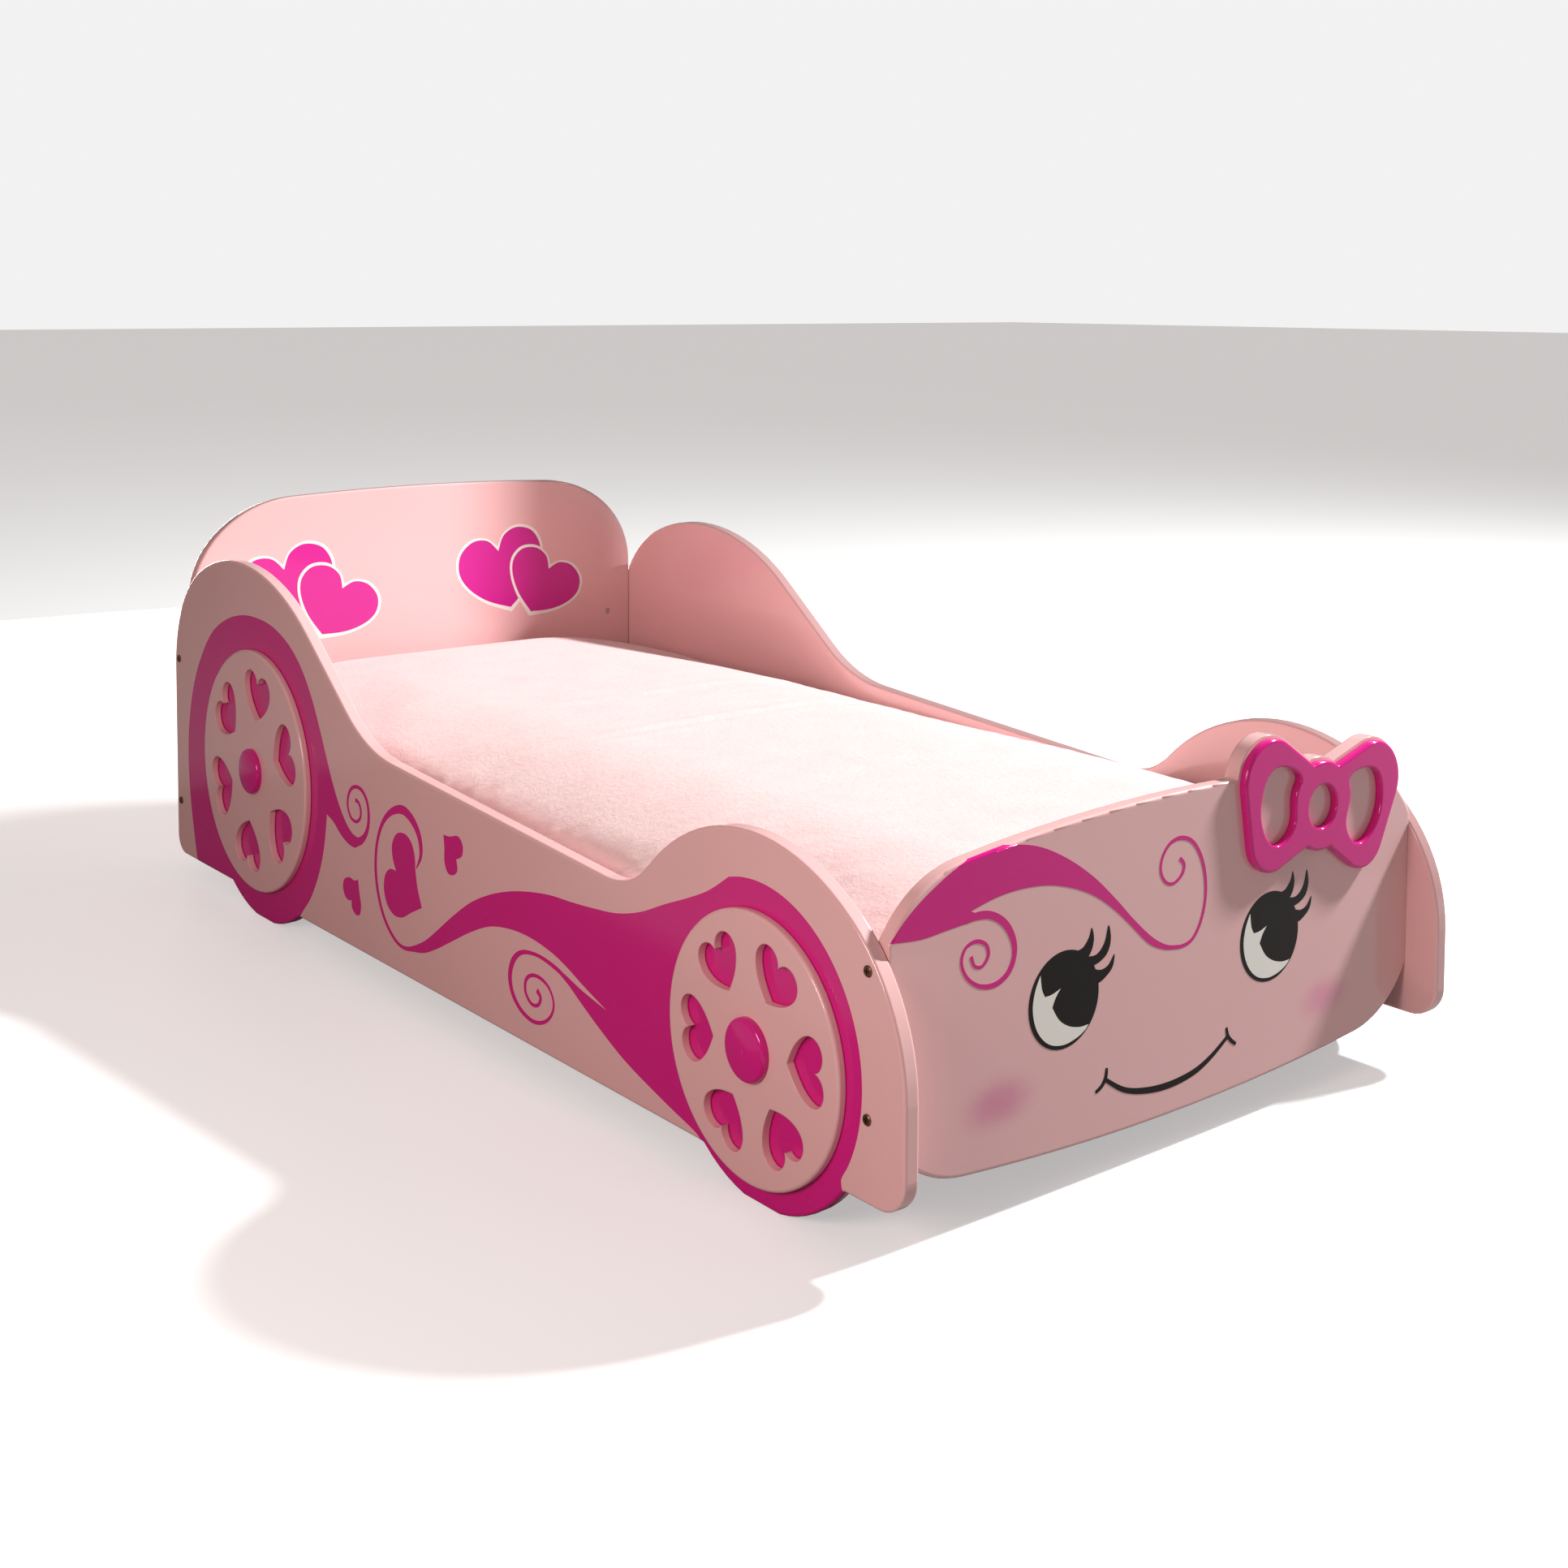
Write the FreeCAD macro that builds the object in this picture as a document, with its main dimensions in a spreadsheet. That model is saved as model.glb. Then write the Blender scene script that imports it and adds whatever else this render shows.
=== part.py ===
import FreeCAD, Part
import math
import os

from FreeCAD import Placement, Rotation, Vector

# Toddler bed built as a little car: board sides with turning wheel discs, a face panel with
# a bow, a headboard, a slatted base and a mattress that lifts out.
#
# Frame: +Z up, length along Y with the face at -Y, width along X.
# Origin: centre of the footprint, on the floor. Millimetres.

os.makedirs("parts", exist_ok=True)
doc = FreeCAD.newDocument("toddler_bed")

# ---------------------------------------------------------------- driving dimensions
DIMENSIONS = {
    # mattress and the room around it
    "mattress_width": 700,
    "mattress_length": 1400,
    "mattress_thickness": 108,
    "mattress_edge_round": 24,
    "mattress_side_gap": 6,
    "mattress_end_gap": 12,
    "sheet_thickness": 1.2,
    "sheet_hem_height": 4,
    "hem_cut_margin": 10,
    # boards
    "board_thickness": 16,
    "board_edge_round": 3,
    "fender_reach": 38,
    "tail_reach": 7,
    # side panel outline
    "foot_flat": 50,
    "sill_height": 27,
    "sill_corner_round": 25,
    "notch_round": 7,
    "fender_underside": 51,
    "fender_corner_round": 32,
    "fender_nose_height": 145,
    "front_arch_top": 328,
    "front_arch_setback": 204,
    "front_arch_radius": 225,
    "valley_round": 90,
    "valley_height": 235,
    "valley_setback": 434,
    "sweep_height": 267,
    "sweep_setback": 564,
    "sweep_round": 210,
    "rear_arch_top": 448,
    "rear_arch_setback": 207,
    "rear_arch_radius": 290,
    "rear_flank_radius": 345,
    "rear_flank_angle": 36.5,
    "tail_shoulder_height": 285,
    "front_lobe_radius": 141,
    "front_lobe_setback": 188,
    "rear_lobe_radius": 183,
    "rear_lobe_setback": 281,
    # wheel discs
    "front_disc_radius": 121.5,
    "front_disc_height": 139,
    "front_disc_setback": 194,
    "rear_disc_radius": 153,
    "rear_disc_height": 189,
    "rear_disc_setback": 270,
    "disc_thickness": 8,
    "disc_edge_round": 3,
    "heart_count": 6,
    "heart_width_ratio": 0.5,
    "heart_place_ratio": 0.634,
    "front_disc_turn": 33.7,
    "rear_disc_turn": 50.7,
    "hub_cap_radius": 28.5,
    "hub_cap_height": 9,
    "hub_cap_round": 4,
    "hub_cap_dome_radius": 160,
    "hub_hollow_radius": 24,
    "hub_hollow_depth": 5.5,
    "axle_radius": 4,
    "axle_running_gap": 0.05,
    "axle_flange_radius": 9,
    "axle_flange_thickness": 2.5,
    "axle_board_clearance": 0.2,
    "axle_bore_depth": 16,
    "spacer_radius": 15,
    "spacer_thickness": 0.8,
    "hub_screw_head_radius": 8,
    "hub_screw_head_thickness": 2.2,
    "hub_screw_shank_radius": 2.5,
    "hub_screw_length": 14,
    "hub_end_gap": 0.2,
    # face panel
    "face_side_bottom": 102,
    "face_side_top": 266,
    "face_shoulder_width": 84,
    "face_top_shoulder": 321,
    "face_top_middle": 338,
    "face_bottom_shoulder": 49,
    "face_bottom_middle": 36,
    # bow
    "bow_offset_x": 202,
    "bow_height": 294,
    "bow_tilt": -8.3,
    "bow_thickness": 8,
    "bow_margin": 3.5,
    "bow_edge_round": 3,
    "bow_hole_round": 1.5,
    "bow_knot_radius": 44.5,
    "bow_waist_radius": 28,
    "bow_wing_x": 82,
    "bow_wing_z": 24,
    "bow_wing_radius": 41,
    "bow_tail_x": 72,
    "bow_tail_z": 30,
    "bow_tail_radius": 34,
    "bow_eye_radius": 22,
    # headboard
    "headboard_bottom": 60,
    "headboard_top": 512,
    "headboard_crown": 5,
    "headboard_side_top": 372,
    "headboard_corner_width": 150,
    # joinery
    "bolt_head_radius": 4.9,
    "bolt_head_height": 1.8,
    "bolt_radius": 3,
    "bolt_length": 62,
    "bolt_recess_width": 1.2,
    "bolt_recess_length": 5.4,
    "bolt_recess_depth": 1.2,
    "bolt_hole_clearance": 0.5,
    "nut_radius": 5,
    "nut_length": 12,
    "nut_depth_in_board": 40,
    "face_bolt_low": 122.4,
    "face_bolt_high": 246,
    "head_bolt_low": 99.7,
    "head_bolt_high": 295,
    "dowel_radius": 4,
    "dowel_length": 30,
    "dowel_in_side": 10,
    "dowel_from_bolt": 32,
    # slatted base
    "rail_width": 22,
    "rail_height": 34,
    "rail_end_gap": 12,
    "rail_edge_round": 2,
    "slat_count": 13,
    "slat_width": 60,
    "slat_thickness": 12,
    "slat_end_gap": 3,
    "slat_margin": 12,
    "slat_edge_round": 2.5,
    "tape_width": 25,
    "tape_thickness": 1.2,
    "tape_offset": 210,
    "rail_screw_count": 6,
    "rail_screw_margin": 90,
    "screw_head_radius": 3.6,
    "screw_shank_radius": 1.75,
    "screw_head_height": 2.2,
    "rail_screw_length": 32,
    "bow_screw_length": 21,
    "bow_screw_wing": 108,
    "bow_screw_wing_rise": 12,
    "bow_screw_knot": 33,
    "mattress_top": 286,
}

sheet = doc.addObject("Spreadsheet::Sheet", "Sizes")
for row, (name, value) in enumerate(DIMENSIONS.items(), start=1):
    sheet.set(f"A{row}", name)
    sheet.set(f"B{row}", str(value))
    sheet.setAlias(f"B{row}", name)
doc.recompute()


def size(name):
    """A driving dimension, read from the sheet."""
    return float(sheet.get(name))


# ---------------------------------------------------------------- places worked out from them
board = size("board_thickness")
inner_width = size("mattress_width") + 2 * size("mattress_side_gap")
inner_length = size("mattress_length") + 2 * size("mattress_end_gap")
half_inner = inner_width / 2
overall_length = size("fender_reach") + board + inner_length + board + size("tail_reach")
front = -overall_length / 2
rear = overall_length / 2
face_front = front + size("fender_reach")
face_back = face_front + board
head_front = face_back + inner_length
head_back = head_front + board
slat_top = size("mattress_top") - size("sheet_thickness") * 2 - size("mattress_thickness")
slat_bottom = slat_top - size("slat_thickness")


# ---------------------------------------------------------------- drawing helpers
def origin_plane(body, role):
    for feature in body.Origin.OriginFeatures:
        if feature.Role == role:
            return feature
    raise ValueError(role)


def new_body(label):
    body = doc.addObject("PartDesign::Body", label)
    body.Label = label
    return body


def sketch_on(body, role, edges, offset=0.0):
    """A sketch on one of the body's origin planes, moved along the plane's normal."""
    sketch = body.newObject("Sketcher::SketchObject", f"{body.Name}_outline")
    sketch.AttachmentSupport = [(origin_plane(body, role), "")]
    sketch.MapMode = "FlatFace"
    sketch.AttachmentOffset = Placement(Vector(0, 0, offset), Rotation())
    sketch.addGeometry(edges, False)
    return sketch


def flat(u, v):
    """A point in a sketch's own plane."""
    return Vector(u, v, 0)


def line(a, b):
    return Part.LineSegment(flat(*a), flat(*b))


def arc(a, middle, b):
    return Part.Arc(flat(*a), flat(*middle), flat(*b))


def circle(centre, radius):
    return Part.Circle(flat(*centre), Vector(0, 0, 1), radius)


def arc_about(centre, start, end, clockwise):
    """The arc from start to end about a centre, the way round that is asked for."""
    radius = math.dist(centre, start)
    first = math.atan2(start[1] - centre[1], start[0] - centre[0])
    last = math.atan2(end[1] - centre[1], end[0] - centre[0])
    if clockwise and last > first:
        last -= 2 * math.pi
    if not clockwise and last < first:
        last += 2 * math.pi
    half = (first + last) / 2
    middle = (centre[0] + radius * math.cos(half), centre[1] + radius * math.sin(half))
    return arc(start, middle, end)


def polygon(points):
    return [line(a, b) for a, b in zip(points, points[1:] + points[:1])]


def pad(body, sketch, length_name):
    """Pads a sketch along its normal by a size from the sheet."""
    feature = body.newObject("PartDesign::Pad", f"{body.Name}_pad")
    feature.Profile = sketch
    feature.setExpression("Length", f"Sizes.{length_name}")
    doc.recompute()
    return feature


def pocket(body, sketch, depth=None, along_normal=False):
    """Cuts a sketch out of the body: right through, or to a depth. It has to remove something."""
    before = body.Shape.Volume
    feature = body.newObject("PartDesign::Pocket", f"{body.Name}_pocket")
    feature.Profile = sketch
    feature.Reversed = along_normal
    if depth is None:
        feature.Type = "ThroughAll"
    else:
        feature.Length = depth
    doc.recompute()
    if not body.Shape.Volume < before - 1e-3:
        raise RuntimeError(f"{feature.Label} cuts nothing")
    return feature


def edges_at(shape, axis, value, keep=lambda edge: True):
    """Names of the edges that lie in the plane axis = value."""
    names = []
    for index, edge in enumerate(shape.Edges, start=1):
        box = edge.BoundBox
        low = getattr(box, f"{axis}Min")
        high = getattr(box, f"{axis}Max")
        if abs(low - value) < 1e-4 and abs(high - value) < 1e-4 and keep(edge):
            names.append(f"Edge{index}")
    return names


def fillet(body, base, edge_names, radius_name):
    feature = body.newObject("PartDesign::Fillet", f"{body.Name}_round")
    feature.Base = (base, edge_names)
    feature.setExpression("Radius", f"Sizes.{radius_name}")
    doc.recompute()
    return feature


def mirrored(label, source):
    """The same piece on the other side of the bed."""
    copy = doc.addObject("Part::Mirroring", label)
    copy.Source = source
    copy.Base = Vector(0, 0, 0)
    copy.Normal = Vector(1, 0, 0)
    copy.Label = label
    return copy


def group(label, shapes):
    """Identical small pieces kept in one node as separate solids."""
    feature = doc.addObject("Part::Feature", label)
    feature.Shape = Part.makeCompound(shapes)
    feature.Label = label
    return feature


def turned(label, profile, place):
    """A piece turned about its own Z axis from a half profile of (radius, height) points."""
    body = new_body(label)
    sketch = sketch_on(body, "XZ_Plane", profile)
    feature = body.newObject("PartDesign::Revolution", f"{label}_turning")
    feature.Profile = sketch
    feature.ReferenceAxis = (sketch, ["V_Axis"])
    feature.Angle = 360
    body.Placement = place
    doc.recompute()
    return body


def box(label, x_range, y_range, bottom, height_name, round_name, round_edges=lambda edge: True):
    """A plain block of a height from the sheet, its chosen edges eased."""
    body = new_body(label)
    (x0, x1), (y0, y1) = x_range, y_range
    sketch = sketch_on(body, "XY_Plane", polygon([(x0, y0), (x1, y0), (x1, y1), (x0, y1)]), bottom)
    feature = pad(body, sketch, height_name)
    if round_name:
        chosen = [f"Edge{i}" for i, e in enumerate(feature.Shape.Edges, start=1) if round_edges(e)]
        fillet(body, feature, chosen, round_name)
    return body


def along(axis):
    """Picks the straight edges that run along an axis."""
    def test(edge):
        start, end = edge.Vertexes[0].Point, edge.Vertexes[-1].Point
        return abs((end - start).normalize().dot(axis)) > 0.999
    return test


X_AXIS = Vector(1, 0, 0)
Y_AXIS = Vector(0, 1, 0)
Z_AXIS = Vector(0, 0, 1)
TO_X = Rotation(Z_AXIS, X_AXIS)
TO_MINUS_X = Rotation(Z_AXIS, -X_AXIS)


# ---------------------------------------------------------------- side panels
def nested_radius(outer_radius, across, up):
    """Radius of the arc that runs from a vertical edge into a bigger arch without a kink."""
    return (outer_radius ** 2 - across ** 2 - up ** 2) / (2 * (outer_radius - across))


def point_towards(start, target, distance):
    reach = math.dist(start, target)
    return (
        start[0] + (target[0] - start[0]) * distance / reach,
        start[1] + (target[1] - start[1]) * distance / reach,
    )


def lobe_centre(y, radius):
    """A wheel lobe stands on a short flat, so its centre is a little under one radius up."""
    return (y, math.sqrt(radius ** 2 - (size("foot_flat") / 2) ** 2))


def notch(lobe, radius, height, side):
    """Small inside rounding between a lobe and a level edge: its arc and its two ends."""
    small = size("notch_round")
    drop = lobe[1] - height + small
    centre = (lobe[0] + side * math.sqrt((radius + small) ** 2 - drop ** 2), height - small)
    on_edge = (centre[0], height)
    on_lobe = point_towards(lobe, centre, radius)
    return centre, on_edge, on_lobe


def side_outline():
    front_lobe_radius = size("front_lobe_radius")
    rear_lobe_radius = size("rear_lobe_radius")
    front_lobe = lobe_centre(front + size("front_lobe_setback"), front_lobe_radius)
    rear_lobe = lobe_centre(rear - size("rear_lobe_setback"), rear_lobe_radius)
    fender_low = size("fender_underside")
    sill = size("sill_height")
    half_foot = size("foot_flat") / 2
    edges = []

    # fender: front edge, lower corner, underside
    corner = size("fender_corner_round")
    nose_start = (front, size("fender_nose_height"))
    corner_top = (front, fender_low + corner)
    corner_end = (front + corner, fender_low)
    edges.append(line(nose_start, corner_top))
    edges.append(arc_about((front + corner, fender_low + corner), corner_top, corner_end, False))

    # the two lobes, each between two notches, with the sill between them
    here = corner_end
    stops = (
        (front_lobe, front_lobe_radius, fender_low, sill),
        (rear_lobe, rear_lobe_radius, sill, sill),
    )
    for lobe, radius, height_before, height_after in stops:
        centre, on_edge, on_lobe = notch(lobe, radius, height_before, -1)
        edges.append(line(here, on_edge))
        edges.append(arc_about(centre, on_edge, on_lobe, True))
        foot = (lobe[0] - half_foot, 0.0)
        edges.append(arc_about(lobe, on_lobe, foot, False))
        foot_end = (lobe[0] + half_foot, 0.0)
        edges.append(line(foot, foot_end))
        centre, on_edge, on_lobe = notch(lobe, radius, height_after, 1)
        edges.append(arc_about(lobe, foot_end, on_lobe, False))
        edges.append(arc_about(centre, on_lobe, on_edge, True))
        here = on_edge

    # tail: underside, lower corner, rear edge
    corner = size("sill_corner_round")
    edges.append(line(here, (rear - corner, sill)))
    corner_end = (rear, sill + corner)
    edges.append(arc_about((rear - corner, sill + corner), (rear - corner, sill), corner_end, False))
    shoulder = size("tail_shoulder_height")
    edges.append(line(corner_end, (rear, shoulder)))

    # rear arch: shoulder, crown, then the longer flank down to the waist
    top = (rear - size("rear_arch_setback"), size("rear_arch_top"))
    arch_radius = size("rear_arch_radius")
    arch = (top[0], top[1] - arch_radius)
    small = nested_radius(arch_radius, size("rear_arch_setback"), shoulder - arch[1])
    shoulder_centre = (rear - small, shoulder)
    joint = point_towards(arch, shoulder_centre, arch_radius)
    edges.append(arc_about(shoulder_centre, (rear, shoulder), joint, False))
    edges.append(arc_about(arch, joint, top, False))
    flank_radius = size("rear_flank_radius")
    flank = (top[0], top[1] - flank_radius)
    steep = math.radians(size("rear_flank_angle"))
    flank_end = (flank[0] - flank_radius * math.sin(steep), flank[1] + flank_radius * math.cos(steep))
    edges.append(arc_about(flank, top, flank_end, False))

    # waist: a straight slope that sweeps up into the flank
    low = (front + size("valley_setback"), size("valley_height"))
    high = (rear - size("sweep_setback"), size("sweep_height"))
    gentle = math.atan2(high[1] - low[1], high[0] - low[0])
    along_waist = (math.cos(gentle), math.sin(gentle))
    above_waist = (-math.sin(gentle), math.cos(gentle))
    rise = flank_end[1] - low[1] - (flank_end[0] - low[0]) * math.tan(steep)
    run = rise / (math.tan(gentle) - math.tan(steep))
    crossing = (low[0] + run, low[1] + run * math.tan(gentle))
    reach = size("sweep_round") * math.tan((steep - gentle) / 2)
    sweep_high = (crossing[0] + reach * math.cos(steep), crossing[1] + reach * math.sin(steep))
    sweep_low = (crossing[0] - reach * along_waist[0], crossing[1] - reach * along_waist[1])
    sweep_centre = (
        sweep_low[0] + size("sweep_round") * above_waist[0],
        sweep_low[1] + size("sweep_round") * above_waist[1],
    )
    edges.append(line(flank_end, sweep_high))
    edges.append(arc_about(sweep_centre, sweep_high, sweep_low, True))

    # valley between the waist and the front arch
    front_radius = size("front_arch_radius")
    front_arch = (front + size("front_arch_setback"), size("front_arch_top") - front_radius)
    valley_radius = size("valley_round")
    from_arch = (
        low[0] + valley_radius * above_waist[0] - front_arch[0],
        low[1] + valley_radius * above_waist[1] - front_arch[1],
    )
    projection = along_waist[0] * from_arch[0] + along_waist[1] * from_arch[1]
    slack = projection ** 2 - from_arch[0] ** 2 - from_arch[1] ** 2 + (front_radius + valley_radius) ** 2
    shift = -projection + math.sqrt(slack)
    valley_end = (low[0] + shift * along_waist[0], low[1] + shift * along_waist[1])
    valley_centre = (
        valley_end[0] + valley_radius * above_waist[0],
        valley_end[1] + valley_radius * above_waist[1],
    )
    arch_start = point_towards(front_arch, valley_centre, front_radius)
    edges.append(line(sweep_low, valley_end))
    edges.append(arc_about(valley_centre, valley_end, arch_start, True))

    # front arch and the nose that closes the outline
    small = nested_radius(
        front_radius, size("front_arch_setback"), size("fender_nose_height") - front_arch[1]
    )
    nose_centre = (front + small, size("fender_nose_height"))
    joint = point_towards(front_arch, nose_centre, front_radius)
    edges.append(arc_about(front_arch, arch_start, joint, False))
    edges.append(arc_about(nose_centre, joint, nose_start, False))
    return edges


face_middle = (face_front + face_back) / 2
head_middle = (head_front + head_back) / 2
BOLT_PLACES = [
    (face_middle, size("face_bolt_low")),
    (face_middle, size("face_bolt_high")),
    (head_middle, size("head_bolt_low")),
    (head_middle, size("head_bolt_high")),
]
DOWEL_PLACES = [
    (face_middle, size("face_bolt_low") + size("dowel_from_bolt")),
    (face_middle, size("face_bolt_high") - size("dowel_from_bolt")),
    (head_middle, size("head_bolt_low") + size("dowel_from_bolt")),
    (head_middle, size("head_bolt_high") - size("dowel_from_bolt")),
]
AXLE_PLACES = {
    "front": (front + size("front_disc_setback"), size("front_disc_height")),
    "rear": (rear - size("rear_disc_setback"), size("rear_disc_height")),
}
rail_start = face_back + size("rail_end_gap")
rail_end = head_front - size("rail_end_gap")
rail_bottom = slat_bottom - size("rail_height")
rail_middle = slat_bottom - size("rail_height") / 2
rail_screw_count = int(size("rail_screw_count"))
rail_screw_pitch = (rail_end - rail_start - 2 * size("rail_screw_margin")) / (rail_screw_count - 1)
RAIL_SCREW_PLACES = [
    (rail_start + size("rail_screw_margin") + rail_screw_pitch * i, rail_middle)
    for i in range(rail_screw_count)
]
screw_in_side = size("rail_screw_length") - size("rail_width")
outer_face = -half_inner - board

side_left = new_body("side_panel_left")
side_sketch = sketch_on(side_left, "YZ_Plane", side_outline(), outer_face)
side_pad = pad(side_left, side_sketch, "board_thickness")
side_rims = edges_at(side_pad.Shape, "X", outer_face) + edges_at(side_pad.Shape, "X", -half_inner)
fillet(side_left, side_pad, side_rims, "board_edge_round")


def side_holes(places, radius, depth=None):
    """Holes drilled into the side panel from its inner face."""
    rings = [circle(place, radius) for place in places]
    pocket(side_left, sketch_on(side_left, "YZ_Plane", rings, -half_inner), depth)


side_holes(BOLT_PLACES, size("bolt_radius") + size("bolt_hole_clearance"))
side_holes(DOWEL_PLACES, size("dowel_radius"), size("dowel_in_side"))
side_holes(RAIL_SCREW_PLACES, size("screw_shank_radius"), screw_in_side)
side_holes(AXLE_PLACES.values(), size("axle_radius") + size("axle_board_clearance"))
side_holes(
    AXLE_PLACES.values(),
    size("axle_flange_radius") + size("axle_board_clearance"),
    size("axle_flange_thickness"),
)
mirrored("side_panel_right", side_left)


# ---------------------------------------------------------------- outlines of the bow
def turned_point(point, angle):
    cosine, sine = math.cos(math.radians(angle)), math.sin(math.radians(angle))
    return (point[0] * cosine - point[1] * sine, point[0] * sine + point[1] * cosine)


def hull_of_circles(circles):
    """Outline drawn tight round circles given anticlockwise: straight tangents and arcs."""
    tangents = []
    for (c1, r1), (c2, r2) in zip(circles, circles[1:] + circles[:1]):
        reach = math.dist(c1, c2)
        heading = ((c2[0] - c1[0]) / reach, (c2[1] - c1[1]) / reach)
        lean = (r1 - r2) / reach
        square = math.sqrt(1 - lean ** 2)
        normal = (
            lean * heading[0] + square * heading[1],
            lean * heading[1] - square * heading[0],
        )
        tangents.append((
            (c1[0] + r1 * normal[0], c1[1] + r1 * normal[1]),
            (c2[0] + r2 * normal[0], c2[1] + r2 * normal[1]),
        ))
    edges = []
    for index, (leave, arrive) in enumerate(tangents):
        centre = circles[(index + 1) % len(circles)][0]
        edges.append(line(leave, arrive))
        edges.append(arc_about(centre, arrive, tangents[(index + 1) % len(tangents)][0], False))
    return edges


def bow_outlines(margin=0.0, angle=0.0, place=(0.0, 0.0)):
    """Knot and two wings of the bow as closed outlines, grown by a margin."""
    def ring(x, z, radius):
        turned_x, turned_z = turned_point((x, z), angle)
        return ((turned_x + place[0], turned_z + place[1]), radius + margin)

    waist = ring(0, 0, size("bow_waist_radius"))
    outlines = [[circle(*ring(0, 0, size("bow_knot_radius")))]]
    for side in (-1, 1):
        wing = ring(side * size("bow_wing_x"), size("bow_wing_z"), size("bow_wing_radius"))
        tail = ring(side * size("bow_tail_x"), -size("bow_tail_z"), size("bow_tail_radius"))
        order = [waist, tail, wing] if side > 0 else [waist, wing, tail]
        outlines.append(hull_of_circles(order))
    return outlines


# ---------------------------------------------------------------- face panel and headboard
def arc_leaving(start, heading, end):
    """The arc that leaves start along a heading and reaches end."""
    chord = (end[0] - start[0], end[1] - start[1])
    length = math.hypot(*chord)
    turn = math.atan2(
        heading[0] * chord[1] - heading[1] * chord[0], heading[0] * chord[0] + heading[1] * chord[1]
    )
    rise = length / 2 * math.tan(turn / 2)
    middle = (
        (start[0] + end[0]) / 2 + rise * chord[1] / length,
        (start[1] + end[1]) / 2 - rise * chord[0] / length,
    )
    return arc(start, middle, end)


def crown(half_width, shoulder, middle):
    """A shallow arc across the board and its outward heading at the +X end."""
    rise = middle - shoulder
    radius = (half_width ** 2 + rise ** 2) / (2 * rise)
    lean = math.asin(half_width / radius)
    return (math.cos(lean), -math.sin(lean))


def board_rims(shape, planes):
    """The rim edges of a cross board, leaving out the ends that meet the side panels."""
    def clear_of_sides(edge):
        return abs(abs(edge.CenterOfMass.x) - half_inner) > 0.01
    names = []
    for plane in planes:
        names += edges_at(shape, "Y", plane, clear_of_sides)
    return names


def joinery_holes(body, bolt_low, bolt_high, middle, inner_face, opens_towards):
    """Bolt and dowel holes in both ends of a cross board and the nut holes from the bed side."""
    for side in (-1, 1):
        for places, radius, depth in (
            (
                (bolt_low, bolt_high),
                size("bolt_radius") + size("bolt_hole_clearance"),
                size("bolt_length") - board + size("nut_radius"),
            ),
            (
                (bolt_low + size("dowel_from_bolt"), bolt_high - size("dowel_from_bolt")),
                size("dowel_radius"),
                size("dowel_length") - size("dowel_in_side"),
            ),
        ):
            rings = [circle((middle, z), radius) for z in places]
            sketch = sketch_on(body, "YZ_Plane", rings, side * half_inner)
            pocket(body, sketch, depth, along_normal=side < 0)
    nut_x = half_inner - size("nut_depth_in_board")
    nut_places = [(side * nut_x, z) for side in (-1, 1) for z in (bolt_low, bolt_high)]
    rings = [circle(place, size("nut_radius")) for place in nut_places]
    sketch = sketch_on(body, "XZ_Plane", rings, -inner_face)
    pocket(body, sketch, (board + size("nut_length")) / 2, along_normal=opens_towards > 0)


footboard = new_body("footboard")
shoulder_x = half_inner - size("face_shoulder_width")
side_low = (half_inner, size("face_side_bottom"))
side_high = (half_inner, size("face_side_top"))
top_end = (shoulder_x, size("face_top_shoulder"))
low_end = (shoulder_x, size("face_bottom_shoulder"))
top_heading = crown(shoulder_x, size("face_top_shoulder"), size("face_top_middle"))
low_lean = crown(shoulder_x, -size("face_bottom_shoulder"), -size("face_bottom_middle"))
low_heading = (low_lean[0], -low_lean[1])


def flipped(point):
    return (-point[0], point[1])


face_edges = [
    arc(flipped(top_end), (0.0, size("face_top_middle")), top_end),
    arc_leaving(top_end, top_heading, side_high),
    line(side_high, side_low),
    arc_leaving(low_end, low_heading, side_low),
    arc(low_end, (0.0, size("face_bottom_middle")), flipped(low_end)),
    arc_leaving(flipped(low_end), flipped(low_heading), flipped(side_low)),
    line(flipped(side_low), flipped(side_high)),
    arc_leaving(flipped(top_end), flipped(top_heading), flipped(side_high)),
]
last = pad(footboard, sketch_on(footboard, "XZ_Plane", face_edges, -face_back), "board_thickness")
fillet(footboard, last, board_rims(last.Shape, (face_front, face_back)), "board_edge_round")
# the rise that backs the bow
bow_place = (size("bow_offset_x"), size("bow_height"))
for outline in bow_outlines(size("bow_margin"), size("bow_tilt"), bow_place):
    pad(footboard, sketch_on(footboard, "XZ_Plane", outline, -face_back), "board_thickness")
joinery_holes(
    footboard, size("face_bolt_low"), size("face_bolt_high"), face_middle, face_back, opens_towards=1
)

headboard = new_body("headboard")
top_x = half_inner - size("headboard_corner_width")
side_top = (half_inner, size("headboard_side_top"))
bottom_corner = (half_inner, size("headboard_bottom"))
crown_end = (top_x, size("headboard_top") - size("headboard_crown"))
crown_heading = crown(top_x, crown_end[1], size("headboard_top"))
# a quarter-round needs its handles at this share of the corner
HANDLE = 0.5523


def headboard_corner(side):
    width = size("headboard_corner_width") * HANDLE
    rise = (crown_end[1] - side_top[1]) * HANDLE
    poles = [
        side_top,
        (side_top[0], side_top[1] + rise),
        (crown_end[0] + width * crown_heading[0], crown_end[1] + width * crown_heading[1]),
        crown_end,
    ]
    curve = Part.BezierCurve()
    curve.setPoles([flat(side * x, z) for x, z in poles])
    return curve.toBSpline()


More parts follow.
